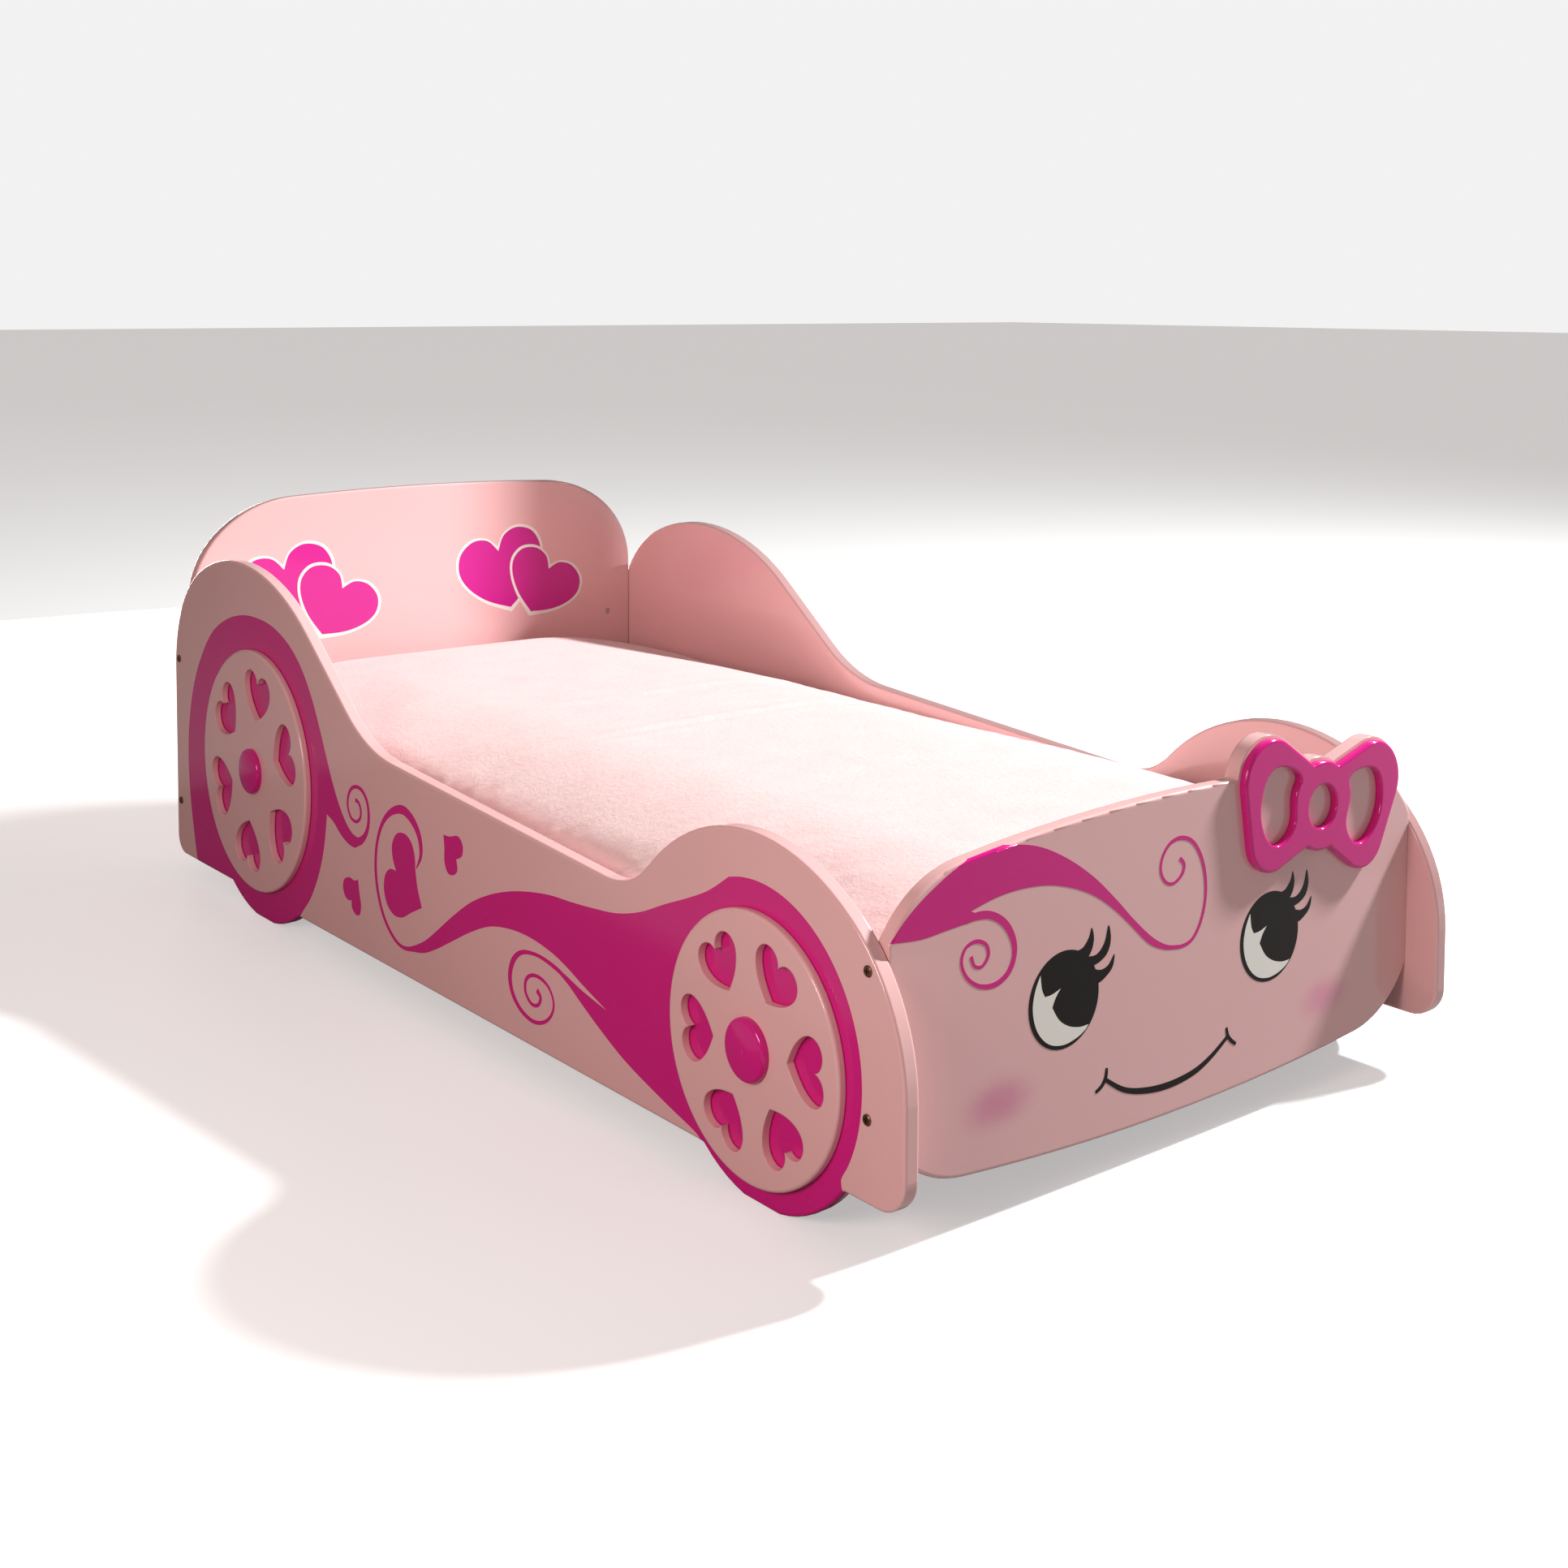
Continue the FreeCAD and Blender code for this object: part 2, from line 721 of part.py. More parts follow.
head_edges = [
    line(flipped(bottom_corner), bottom_corner),
    line(bottom_corner, side_top),
    headboard_corner(1),
    arc(crown_end, (0.0, size("headboard_top")), flipped(crown_end)),
    headboard_corner(-1),
    line(flipped(side_top), flipped(bottom_corner)),
]
last = pad(headboard, sketch_on(headboard, "XZ_Plane", head_edges, -head_back), "board_thickness")
fillet(headboard, last, board_rims(last.Shape, (head_front, head_back)), "board_edge_round")
joinery_holes(
    headboard, size("head_bolt_low"), size("head_bolt_high"), head_middle, head_front, opens_towards=-1
)

# ---------------------------------------------------------------- bow
# One eye of the bow's wing, (along the wing, up) from the knot.
WING_EYE = [(40, 22), (43.5, 4), (41.5, -17), (66, -38), (90, -20), (96, 6), (87, 32), (62, 38)]

bow = new_body("bow")
for outline in bow_outlines():
    last = pad(bow, sketch_on(bow, "XZ_Plane", outline), "bow_thickness")
last = fillet(bow, last, edges_at(last.Shape, "Y", -size("bow_thickness")), "bow_edge_round")
eyes = [circle((0.0, 0.0), size("bow_eye_radius"))]
for side in (-1, 1):
    eye = Part.BSplineCurve()
    eye.interpolate(Points=[flat(side * x, z) for x, z in WING_EYE], PeriodicFlag=True)
    eyes.append(eye)
last = pocket(bow, sketch_on(bow, "XZ_Plane", eyes), along_normal=True)


def eye_edge(edge):
    return edge.CenterOfMass.Length < size("bow_wing_x") and edge.isClosed()


fillet(bow, last, edges_at(last.Shape, "Y", -size("bow_thickness"), eye_edge), "bow_hole_round")
BOW_SCREW_PLACES = [
    (0.0, size("bow_screw_knot")),
    (0.0, -size("bow_screw_knot")),
    (size("bow_screw_wing"), size("bow_screw_wing_rise")),
    (-size("bow_screw_wing"), size("bow_screw_wing_rise")),
]
rings = [circle(place, size("screw_shank_radius")) for place in BOW_SCREW_PLACES]
pocket(bow, sketch_on(bow, "XZ_Plane", rings), size("bow_screw_length") - board, along_normal=True)
bow.Placement = Placement(
    Vector(bow_place[0], face_front, bow_place[1]), Rotation(Y_AXIS, -size("bow_tilt"))
)
bow_screw_points = []
for place in BOW_SCREW_PLACES:
    turned_x, turned_z = turned_point(place, size("bow_tilt"))
    bow_screw_points.append((bow_place[0] + turned_x, bow_place[1] + turned_z))
rings = [circle(point, size("screw_shank_radius")) for point in bow_screw_points]
pocket(footboard, sketch_on(footboard, "XZ_Plane", rings, -face_back), along_normal=True)

# ---------------------------------------------------------------- screws
def cross_recess(body, top):
    """The cross slot in a screw head, cut down from its top."""
    half_long, half_wide = size("bolt_recess_length") / 2, size("bolt_recess_width") / 2
    for long_x, long_y in ((half_long, half_wide), (half_wide, half_long)):
        corners = [(-long_x, -long_y), (long_x, -long_y), (long_x, long_y), (-long_x, long_y)]
        pocket(body, sketch_on(body, "XY_Plane", polygon(corners), top), size("bolt_recess_depth"))


def headed_pin(label, head_radius, head_height, shank_radius, length):
    """A screw or bolt standing on its tip side down: shank below, flat-topped head above."""
    ease = head_height * 0.4
    body = turned(label, polygon([
        (0, -length),
        (shank_radius, -length),
        (shank_radius, 0),
        (head_radius, 0),
        (head_radius, head_height - ease),
        (head_radius - ease, head_height),
        (0, head_height),
    ]), Placement())
    cross_recess(body, head_height)
    return body


def placed(source, places):
    """Copies of a piece's solid at the given placements."""
    copies = []
    for place in places:
        copy = source.Shape.copy()
        copy.Placement = place
        copies.append(copy)
    return copies


def on_both_sides(x, places):
    """Placements at +x and -x whose local Z points out of the bed."""
    result = []
    for side, turn in ((-1, TO_MINUS_X), (1, TO_X)):
        result += [Placement(Vector(side * x, y, z), turn) for y, z in places]
    return result


PATTERNS = []


def pattern_piece(body):
    """Marks a body that only serves as the pattern for a group of identical pieces."""
    PATTERNS.append(body.Name)
    return body


bolt = pattern_piece(headed_pin(
    "bolt", size("bolt_head_radius"), size("bolt_head_height"), size("bolt_radius"), size("bolt_length")
))
group("corner_bolts", placed(bolt, on_both_sides(half_inner + board, BOLT_PLACES)))

rail_screw = pattern_piece(headed_pin(
    "rail_screw",
    size("screw_head_radius"),
    size("screw_head_height"),
    size("screw_shank_radius"),
    size("rail_screw_length"),
))
inward = []
for side, turn in ((-1, TO_X), (1, TO_MINUS_X)):
    x = side * (half_inner - size("rail_width"))
    inward += [Placement(Vector(x, y, z), turn) for y, z in RAIL_SCREW_PLACES]
group("rail_screws", placed(rail_screw, inward))

bow_screw = pattern_piece(headed_pin(
    "bow_screw",
    size("screw_head_radius"),
    size("screw_head_height"),
    size("screw_shank_radius"),
    size("bow_screw_length"),
))
towards_bed = Rotation(Z_AXIS, Y_AXIS)
group("bow_screws", placed(bow_screw, [
    Placement(Vector(x, face_back, z), towards_bed) for x, z in bow_screw_points
]))

# ---------------------------------------------------------------- barrel nuts and dowels
nut = pattern_piece(new_body("barrel_nut"))
half_nut = size("nut_length") / 2
pad_sketch = sketch_on(nut, "XY_Plane", [circle((0, 0), size("nut_radius"))], -half_nut)
pad(nut, pad_sketch, "nut_length")
cross_hole = sketch_on(nut, "YZ_Plane", [circle((0, 0), size("bolt_radius"))], size("nut_radius"))
pocket(nut, cross_hole)
nut_x = half_inner - size("nut_depth_in_board")
group("barrel_nuts", placed(nut, [
    Placement(Vector(side * nut_x, y, z), towards_bed) for side in (-1, 1) for y, z in BOLT_PLACES
]))

dowel = pattern_piece(new_body("dowel"))
pad(dowel, sketch_on(dowel, "XY_Plane", [circle((0, 0), size("dowel_radius"))]), "dowel_length")
dowel_start = half_inner + size("dowel_in_side") - size("dowel_length")
group("corner_dowels", placed(dowel, on_both_sides(dowel_start, DOWEL_PLACES)))

# ---------------------------------------------------------------- wheels
# Half outline of a heart of width 1: from the cleft over the lobe to the tip.
HEART_HALF = [
    (0, 0.22), (0.10, 0.36), (0.27, 0.40), (0.44, 0.31),
    (0.50, 0.13), (0.43, -0.06), (0.25, -0.25), (0, -0.40),
]


def heart_edges(width, centre, angle):
    """A heart standing with its tip towards the hub."""
    edges = []
    for side in (-1, 1):
        points = []
        for across, up in HEART_HALF:
            x, y = turned_point((up * width, side * across * width), angle)
            points.append(flat(x + centre[0], y + centre[1]))
        curve = Part.BSplineCurve()
        curve.interpolate(points)
        edges.append(curve)
    return edges


outside = half_inner + board
disc_inner = outside + size("spacer_thickness")
cap_seat = disc_inner + size("disc_thickness")


def wheel_disc(position):
    radius = size(f"{position}_disc_radius")
    y, z = AXLE_PLACES[position]
    body = new_body(f"wheel_disc_{position}_left")
    base = pad(body, sketch_on(body, "XY_Plane", [circle((0, 0), radius)]), "disc_thickness")
    rim = edges_at(base.Shape, "Z", size("disc_thickness"))
    fillet(body, base, rim, "disc_edge_round")
    bore = circle((0, 0), size("axle_radius") + size("axle_running_gap"))
    pocket(body, sketch_on(body, "XY_Plane", [bore]), along_normal=True)
    turn = size(f"{position}_disc_turn")
    centre = turned_point((size("heart_place_ratio") * radius, 0), turn)
    outline = sketch_on(body, "XY_Plane", heart_edges(size("heart_width_ratio") * radius, centre, turn))
    heart = pocket(body, outline, along_normal=True)
    ring = body.newObject("PartDesign::PolarPattern", f"{body.Name}_hearts")
    ring.Originals = [heart]
    ring.Axis = (outline, ["N_Axis"])
    ring.Angle = 360
    ring.Occurrences = int(size("heart_count"))
    body.Tip = ring
    doc.recompute()
    body.Placement = Placement(Vector(-disc_inner, y, z), TO_MINUS_X)
    return body


def hub_cap_profile():
    """Half section of the hollow cap: flat rim, soft shoulder, shallow dome."""
    radius, height = size("hub_cap_radius"), size("hub_cap_height")
    small, dome = size("hub_cap_round"), size("hub_cap_dome_radius")
    hollow, depth = size("hub_hollow_radius"), size("hub_hollow_depth")
    dome_centre = (0.0, height - dome)
    shoulder_height = dome_centre[1] + math.sqrt((dome - small) ** 2 - (radius - small) ** 2)
    shoulder = (radius - small, shoulder_height)
    joint = point_towards(dome_centre, shoulder, dome)
    rim = (radius, shoulder_height)
    return [
        line((hollow, 0), (radius, 0)),
        line((radius, 0), rim),
        arc_about(shoulder, rim, joint, False),
        arc_about(dome_centre, joint, (0.0, height), False),
        line((0, height), (0, depth)),
        line((0, depth), (hollow, depth)),
        line((hollow, depth), (hollow, 0)),
    ]


for position in ("front", "rear"):
    y, z = AXLE_PLACES[position]
    disc = wheel_disc(position)
    mirrored(f"wheel_disc_{position}_right", disc)
    cap = turned(
        f"hub_cap_{position}_left", hub_cap_profile(), Placement(Vector(-cap_seat, y, z), TO_MINUS_X)
    )
    mirrored(f"hub_cap_{position}_right", cap)

# hub bolts: a flange let into the panel's inner face and a barrel the disc turns on
barrel_end = board + size("spacer_thickness") + size("disc_thickness") + size("hub_end_gap")
flange_thickness, barrel = size("axle_flange_thickness"), size("axle_radius")
thread, bore_end = size("hub_screw_shank_radius"), barrel_end - size("axle_bore_depth")
sleeve = pattern_piece(turned("axle_sleeve", polygon([
    (0, 0),
    (size("axle_flange_radius"), 0),
    (size("axle_flange_radius"), flange_thickness),
    (barrel, flange_thickness),
    (barrel, barrel_end),
    (thread, barrel_end),
    (thread, bore_end),
    (0, bore_end),
]), Placement()))
group("axle_sleeves", placed(sleeve, on_both_sides(half_inner, AXLE_PLACES.values())))

hub_screw = pattern_piece(headed_pin(
    "hub_screw",
    size("hub_screw_head_radius"),
    size("hub_screw_head_thickness"),
    size("hub_screw_shank_radius"),
    size("hub_screw_length"),
))
group("hub_screws", placed(hub_screw, on_both_sides(half_inner + barrel_end, AXLE_PLACES.values())))

spacer = pattern_piece(new_body("spacer"))
rings = [
    circle((0, 0), size("spacer_radius")),
    circle((0, 0), size("axle_radius") + size("axle_board_clearance")),
]
pad(spacer, sketch_on(spacer, "XY_Plane", rings), "spacer_thickness")
group("wheel_spacers", placed(spacer, on_both_sides(outside, AXLE_PLACES.values())))

# ---------------------------------------------------------------- slatted base
rail = box(
    "bearer_rail_left",
    (-half_inner, size("rail_width") - half_inner),
    (rail_start, rail_end),
    rail_bottom,
    "rail_height",
    "rail_edge_round",
    along(Y_AXIS),
)
rings = [circle(place, size("screw_shank_radius")) for place in RAIL_SCREW_PLACES]
pocket(rail, sketch_on(rail, "YZ_Plane", rings, size("rail_width") - half_inner))
mirrored("bearer_rail_right", rail)

slat_count = int(size("slat_count"))
slat_half = half_inner - size("slat_end_gap")
first_slat = face_back + size("slat_margin") + size("slat_width") / 2
last_slat = head_front - size("slat_margin") - size("slat_width") / 2
slat_pitch = (last_slat - first_slat) / (slat_count - 1)
for index in range(slat_count):
    middle = first_slat + slat_pitch * index
    box(
        f"slat_{index + 1:02d}",
        (-slat_half, slat_half),
        (middle - size("slat_width") / 2, middle + size("slat_width") / 2),
        slat_bottom,
        "slat_thickness",
        "slat_edge_round",
        along(X_AXIS),
    )

for side, name in ((-1, "left"), (1, "right")):
    middle = side * size("tape_offset")
    box(
        f"slat_tape_{name}",
        (middle - size("tape_width") / 2, middle + size("tape_width") / 2),
        (first_slat - size("slat_width") / 3, last_slat + size("slat_width") / 3),
        slat_bottom - size("tape_thickness"),
        "tape_thickness",
        None,
    )

# ---------------------------------------------------------------- mattress
cover = size("sheet_thickness")
half_width = size("mattress_width") / 2
half_length = size("mattress_length") / 2
bed_middle = (face_back + head_front) / 2


def cushion(label, grow, bottom, height, rounding):
    """A soft block with all its edges rounded, grown outwards by a cover's thickness."""
    block = doc.addObject("Part::Box", f"{label}_block")
    block.setExpression("Length", f"Sizes.mattress_width - 2 * Sizes.sheet_thickness + {2 * grow}")
    block.setExpression("Width", f"Sizes.mattress_length - 2 * Sizes.sheet_thickness + {2 * grow}")
    block.setExpression("Height", height)
    corner = Vector(cover - half_width - grow, bed_middle - half_length + cover - grow, bottom)
    block.Placement = Placement(corner, Rotation())
    doc.recompute()
    soft = doc.addObject("Part::Fillet", label)
    soft.Base = block
    soft.Edges = [(i, rounding, rounding) for i in range(1, len(block.Shape.Edges) + 1)]
    soft.Label = label
    doc.recompute()
    return soft


core_round = size("mattress_edge_round") - cover
foam = cushion("mattress", 0.0, slat_top, "Sizes.mattress_thickness + Sizes.sheet_thickness", core_round)
wrap = cushion(
    "sheet_wrap",
    cover,
    slat_top - cover,
    "Sizes.mattress_thickness + 3 * Sizes.sheet_thickness",
    core_round + cover,
)
hem = doc.addObject("Part::Box", "sheet_hem_cut")
hem.setExpression("Length", "Sizes.mattress_width + 2 * Sizes.hem_cut_margin")
hem.setExpression("Width", "Sizes.mattress_length + 2 * Sizes.hem_cut_margin")
hem.setExpression("Height", "Sizes.sheet_hem_height + Sizes.hem_cut_margin")
margin = size("hem_cut_margin")
hem_corner = Vector(-half_width - margin, bed_middle - half_length - margin, slat_top - margin)
hem.Placement = Placement(hem_corner, Rotation())
hollow_wrap = doc.addObject("Part::Cut", "sheet_wrap_hollow")
hollow_wrap.Base = wrap
hollow_wrap.Tool = foam
fitted = doc.addObject("Part::Cut", "fitted_sheet")
fitted.Base = hollow_wrap
fitted.Tool = hem
doc.recompute()

# ---------------------------------------------------------------- checks and export
HELPERS = {"mattress_block", "sheet_wrap", "sheet_wrap_block", "sheet_hem_cut", "sheet_wrap_hollow"}
KINDS = ("PartDesign::Body", "Part::Feature", "Part::Mirroring", "Part::Fillet", "Part::Cut")
written = []
for item in doc.Objects:
    if {"Invalid", "Error"} & set(item.State):
        raise RuntimeError(f"{item.Label}: {item.State}")
    if item.TypeId not in KINDS or item.Name in HELPERS or item.Name in PATTERNS:
        continue
    if item.Shape.isNull() or not item.Shape.isValid():
        raise RuntimeError(f"{item.Label} has no valid shape")
    item.Shape.exportStep(f"parts/{item.Label}.step")
    written.append(item.Label)
print(len(written), "pieces:", ", ".join(written))
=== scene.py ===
import bmesh
import bpy
import math
from mathutils import Matrix, Vector, noise


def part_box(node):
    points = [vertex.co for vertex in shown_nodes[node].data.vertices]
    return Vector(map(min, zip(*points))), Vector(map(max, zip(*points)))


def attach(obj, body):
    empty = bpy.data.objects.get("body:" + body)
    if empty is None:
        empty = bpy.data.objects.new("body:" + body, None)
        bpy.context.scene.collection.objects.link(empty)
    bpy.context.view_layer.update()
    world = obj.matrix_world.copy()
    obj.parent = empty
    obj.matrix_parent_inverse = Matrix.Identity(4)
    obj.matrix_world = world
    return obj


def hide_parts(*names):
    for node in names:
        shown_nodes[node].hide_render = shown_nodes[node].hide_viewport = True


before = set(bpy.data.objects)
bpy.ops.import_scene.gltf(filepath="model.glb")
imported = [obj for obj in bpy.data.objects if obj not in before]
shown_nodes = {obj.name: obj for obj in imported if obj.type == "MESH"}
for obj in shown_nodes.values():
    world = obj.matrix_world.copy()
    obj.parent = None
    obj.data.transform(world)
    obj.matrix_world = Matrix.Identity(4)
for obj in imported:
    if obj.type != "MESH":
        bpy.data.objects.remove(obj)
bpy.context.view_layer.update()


# ------------------------------------------------------------------ side panels
# Two 16 mm fibre boards cut as a car's side, edges rounded over, sprayed with pale pink
# polyurethane lacquer and polished. They hold the cross boards and carry the wheel discs.
def linear(hex_colour):
    """An sRGB hex colour as the linear colour a shader needs."""
    parts = [int(hex_colour[i:i + 2], 16) / 255 for i in (1, 3, 5)]
    return [p / 12.92 if p <= 0.04045 else ((p + 0.055) / 1.055) ** 2.4 for p in parts] + [1.0]


def add(tree, kind, inputs=None, **settings):
    """Adds a node with its settings; an input is given a value or another node's output."""
    made = tree.nodes.new(kind)
    for name, value in settings.items():
        setattr(made, name, value)
    for name, value in (inputs or {}).items():
        if isinstance(value, bpy.types.NodeSocket):
            tree.links.new(value, made.inputs[name])
        else:
            made.inputs[name].default_value = value
    return made


def new_finish(name):
    """An empty material and its node tree."""
    material = bpy.data.materials.new(name)
    material.use_nodes = True
    material.node_tree.nodes.clear()
    return material, material.node_tree


def per_mm(size_mm):
    """Noise scale, in features per metre, for features of this size."""
    return 1000.0 / size_mm


SHARPEST_ROUNDED = math.radians(32)


def put_on(material, *names):
    """Gives CAD pieces their finish; faces that meet at a sharper angle keep a crisp edge."""
    for name in names:
        mesh = shown_nodes[name].data
        mesh.materials.clear()
        mesh.materials.append(material)
        for face in mesh.polygons:
            face.use_smooth = True
        mesh.set_sharp_from_angle(angle=SHARPEST_ROUNDED)


def sprayed_lacquer(name, colour, deeper, gloss=0.16, spots=(), eased_edge=0.0,
                    coat=0.35, shine=0.5):
    """Sprayed lacquer: a clear, even gloss with a faint orange-peel ripple and a colour that
    drifts very slightly over the board. Spots are soft airbrushed patches, each a centre, a
    reach and a colour. An eased edge, in metres, catches a line of light where two faces meet.
    An ink has less coat and shine."""
    material, tree = new_finish(name)
    place = add(tree, "ShaderNodeTexCoord").outputs["Object"]
    drift = add(tree, "ShaderNodeTexNoise", {"Vector": place, "Scale": per_mm(260), "Detail": 2.0})
    paint = add(tree, "ShaderNodeMix", {
        "Factor": drift.outputs["Fac"], "A": linear(colour), "B": linear(deeper),
    }, data_type="RGBA").outputs["Result"]
    for centre, reach, tint in spots:
        away = add(tree, "ShaderNodeVectorMath", {0: place, 1: centre}, operation="SUBTRACT")
        squeezed = add(tree, "ShaderNodeVectorMath", {
            0: away.outputs["Vector"], 1: [1 / r for r in reach],
        }, operation="MULTIPLY")
        distance = add(tree, "ShaderNodeVectorMath", {0: squeezed.outputs["Vector"]},
                       operation="LENGTH")
        mist = add(tree, "ShaderNodeTexNoise", {
            "Vector": place, "Scale": per_mm(28), "Detail": 3.0,
        })
        wavy = add(tree, "ShaderNodeMath", {
            0: mist.outputs["Fac"], 1: 0.25, 2: distance.outputs["Value"],
        }, operation="MULTIPLY_ADD")
        fade = add(tree, "ShaderNodeMapRange", {
            "Value": wavy.outputs["Value"], "From Min": 0.15, "From Max": 1.1,
            "To Min": 0.55, "To Max": 0.0,
        }, interpolation_type="SMOOTHERSTEP")
        paint = add(tree, "ShaderNodeMix", {
            "Factor": fade.outputs["Result"], "A": paint, "B": linear(tint),
        }, data_type="RGBA").outputs["Result"]
    peel = add(tree, "ShaderNodeTexNoise", {"Vector": place, "Scale": per_mm(5), "Detail": 1.5})
    ripple = add(tree, "ShaderNodeBump", {
        "Height": peel.outputs["Fac"], "Strength": 0.05, "Distance": 0.0004,
    })
    if eased_edge:
        edge = add(tree, "ShaderNodeBevel", {"Radius": eased_edge}, samples=6)
        tree.links.new(edge.outputs["Normal"], ripple.inputs["Normal"])
    haze = add(tree, "ShaderNodeTexNoise", {"Vector": place, "Scale": per_mm(60), "Detail": 3.0})
    dulling = add(tree, "ShaderNodeMapRange", {
        "Value": haze.outputs["Fac"], "To Min": gloss * 0.85, "To Max": gloss * 1.35,
    })
    skin = add(tree, "ShaderNodeBsdfPrincipled", {
        "Base Color": paint, "Roughness": dulling.outputs["Result"], "IOR": 1.5,
        "Coat Weight": coat, "Coat Roughness": 0.06, "Specular IOR Level": shine,
        "Normal": ripple.outputs["Normal"],
    })
    add(tree, "ShaderNodeOutputMaterial", {"Surface": skin.outputs["BSDF"]})
    return material


# each colour of lacquer with the slightly deeper one that it drifts to
PINK = ("#EEBDBD", "#EAB7B7")
MAGENTA = ("#DA1588", "#D21281")
MAGENTA_GLOSS = {"gloss": 0.12, "coat": 0.28, "shine": 0.42}
pink_lacquer = sprayed_lacquer("pink_polyurethane_lacquer", *PINK)
magenta_lacquer = sprayed_lacquer("magenta_polyurethane_lacquer", *MAGENTA, **MAGENTA_GLOSS)
magenta_edged = sprayed_lacquer("magenta_lacquer_on_routed_edges", *MAGENTA, eased_edge=0.0022,
                                **MAGENTA_GLOSS)
pink_edged = sprayed_lacquer("pink_lacquer_on_routed_edges", *PINK, eased_edge=0.0018)
put_on(pink_lacquer, "side_panel_left", "side_panel_right")


# ------------------------------------------------------------------ prints on the side panels
# Magenta screen-printed swirls under the top coat: a ring round each wheel that runs out
# into a wave, a loop with a heart, curls and two small hearts. A print is a few tenths of a
# millimetre thick. Outlines are in millimetres.
def smooth_line(points, closed=False, steps=6):
    """A smooth run through the points; a number past the first two, a width, runs along too."""
    count = len(points)
    runs = count if closed else count - 1
    result = []
    for i in range(runs):
        if closed:
            a, b, c, d = (points[(i + k) % count] for k in (-1, 0, 1, 2))
        else:
            a, b, c, d = (points[min(max(i + k, 0), count - 1)] for k in (-1, 0, 1, 2))
        for step in range(steps):
            t = step / steps
            result.append(tuple(
                0.5 * (2 * q + (r - p) * t + (2 * p - 5 * q + 4 * r - s) * t * t
                       + (3 * q - p - 3 * r + s) * t ** 3)
                for p, q, r, s in zip(a, b, c, d)
            ))
    if not closed:
        result.append(tuple(points[-1]))
    return result


def outline_of(*runs):
    """One closed outline from smooth runs that meet at sharp corners."""
    outline = []
    for run in runs:
        outline += smooth_line(run)[:-1]
    return outline


def brush_stroke(points):
    """The outline of a painted line through (u, v, width) points, tapered where they narrow."""
    path = smooth_line(points)
    left, right = [], []
    for i, (u, v, width) in enumerate(path):
        before, after = path[max(i - 1, 0)], path[min(i + 1, len(path) - 1)]
        du, dv = after[0] - before[0], after[1] - before[1]
        reach = math.hypot(du, dv) or 1.0
        nu, nv = -dv / reach * width / 2, du / reach * width / 2
        left.append((u + nu, v + nv))
        right.append((u - nu, v - nv))
    return left + right[::-1]


def arc_points(centre, radius, start, end, count=24):
    """Points along part of a circle, between two angles in degrees."""
    turns = [math.radians(start + (end - start) * i / (count - 1)) for i in range(count)]
    return [(centre[0] + radius * math.cos(a), centre[1] + radius * math.sin(a)) for a in turns]


MM = 0.001
HALF_BOARD_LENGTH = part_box("side_panel_left")[1][1] / MM
# row directions of a print's own (across, up, outward) axes
ON_LEFT = Matrix(((0, 0, -1), (-1, 0, 0), (0, 1, 0)))
ON_FRONT = Matrix(((1, 0, 0), (0, 0, -1), (0, 1, 0)))
OUTWARD = Vector((0, 0, 1))
CLEAR_OF_FACE = 2


def cut_out(outline, turn, surface, depth):
    """A solid with this outline, from just above a board's face down to a depth inside it."""
    curve = bpy.data.curves.new("cut_out", "CURVE")
    curve.dimensions = "2D"
    curve.fill_mode = "BOTH"
    curve.extrude = (depth + CLEAR_OF_FACE) / 2
    spline = curve.splines.new("POLY")
    spline.points.add(len(outline) - 1)
    for point, (u, v) in zip(spline.points, outline):
        point.co = (u, v, 0, 1)
    spline.use_cyclic_u = True
    holder = bpy.data.objects.new("cut_out", curve)
    mesh = bpy.data.meshes.new_from_object(holder)
    shape = bmesh.new()
    shape.from_mesh(mesh)
    bmesh.ops.remove_doubles(shape, verts=shape.verts, dist=1e-4)
    outward = turn @ OUTWARD
    middle = surface - (depth - CLEAR_OF_FACE) / 2
    for vertex in shape.verts:
        flat = Vector((vertex.co.x, vertex.co.y, 0))
        vertex.co = (turn @ flat + outward * (middle + vertex.co.z)) * MM
    bmesh.ops.recalc_face_normals(shape, faces=shape.faces)
    shape.to_mesh(mesh)
    shape.free()
    bpy.data.objects.remove(holder)
    bpy.data.curves.remove(curve)
    return mesh


def board_skin(board, thickness):
    """The board's own shape grown by the print's thickness."""
    mesh = shown_nodes[board].data.copy()
    shape = bmesh.new()
    shape.from_mesh(mesh)
    bmesh.ops.remove_doubles(shape, verts=shape.verts, dist=2e-6)
    bmesh.ops.recalc_face_normals(shape, faces=shape.faces)
    shape.normal_update()
    grown = [(v, v.co + v.normal * thickness * MM) for v in shape.verts]
    for vertex, place in grown:
        vertex.co = place
    shape.to_mesh(mesh)
    shape.free()
    return mesh


# a face whose normal is within two degrees of straight out lies on the flat of the board
FLAT_OF_BOARD = 0.9995


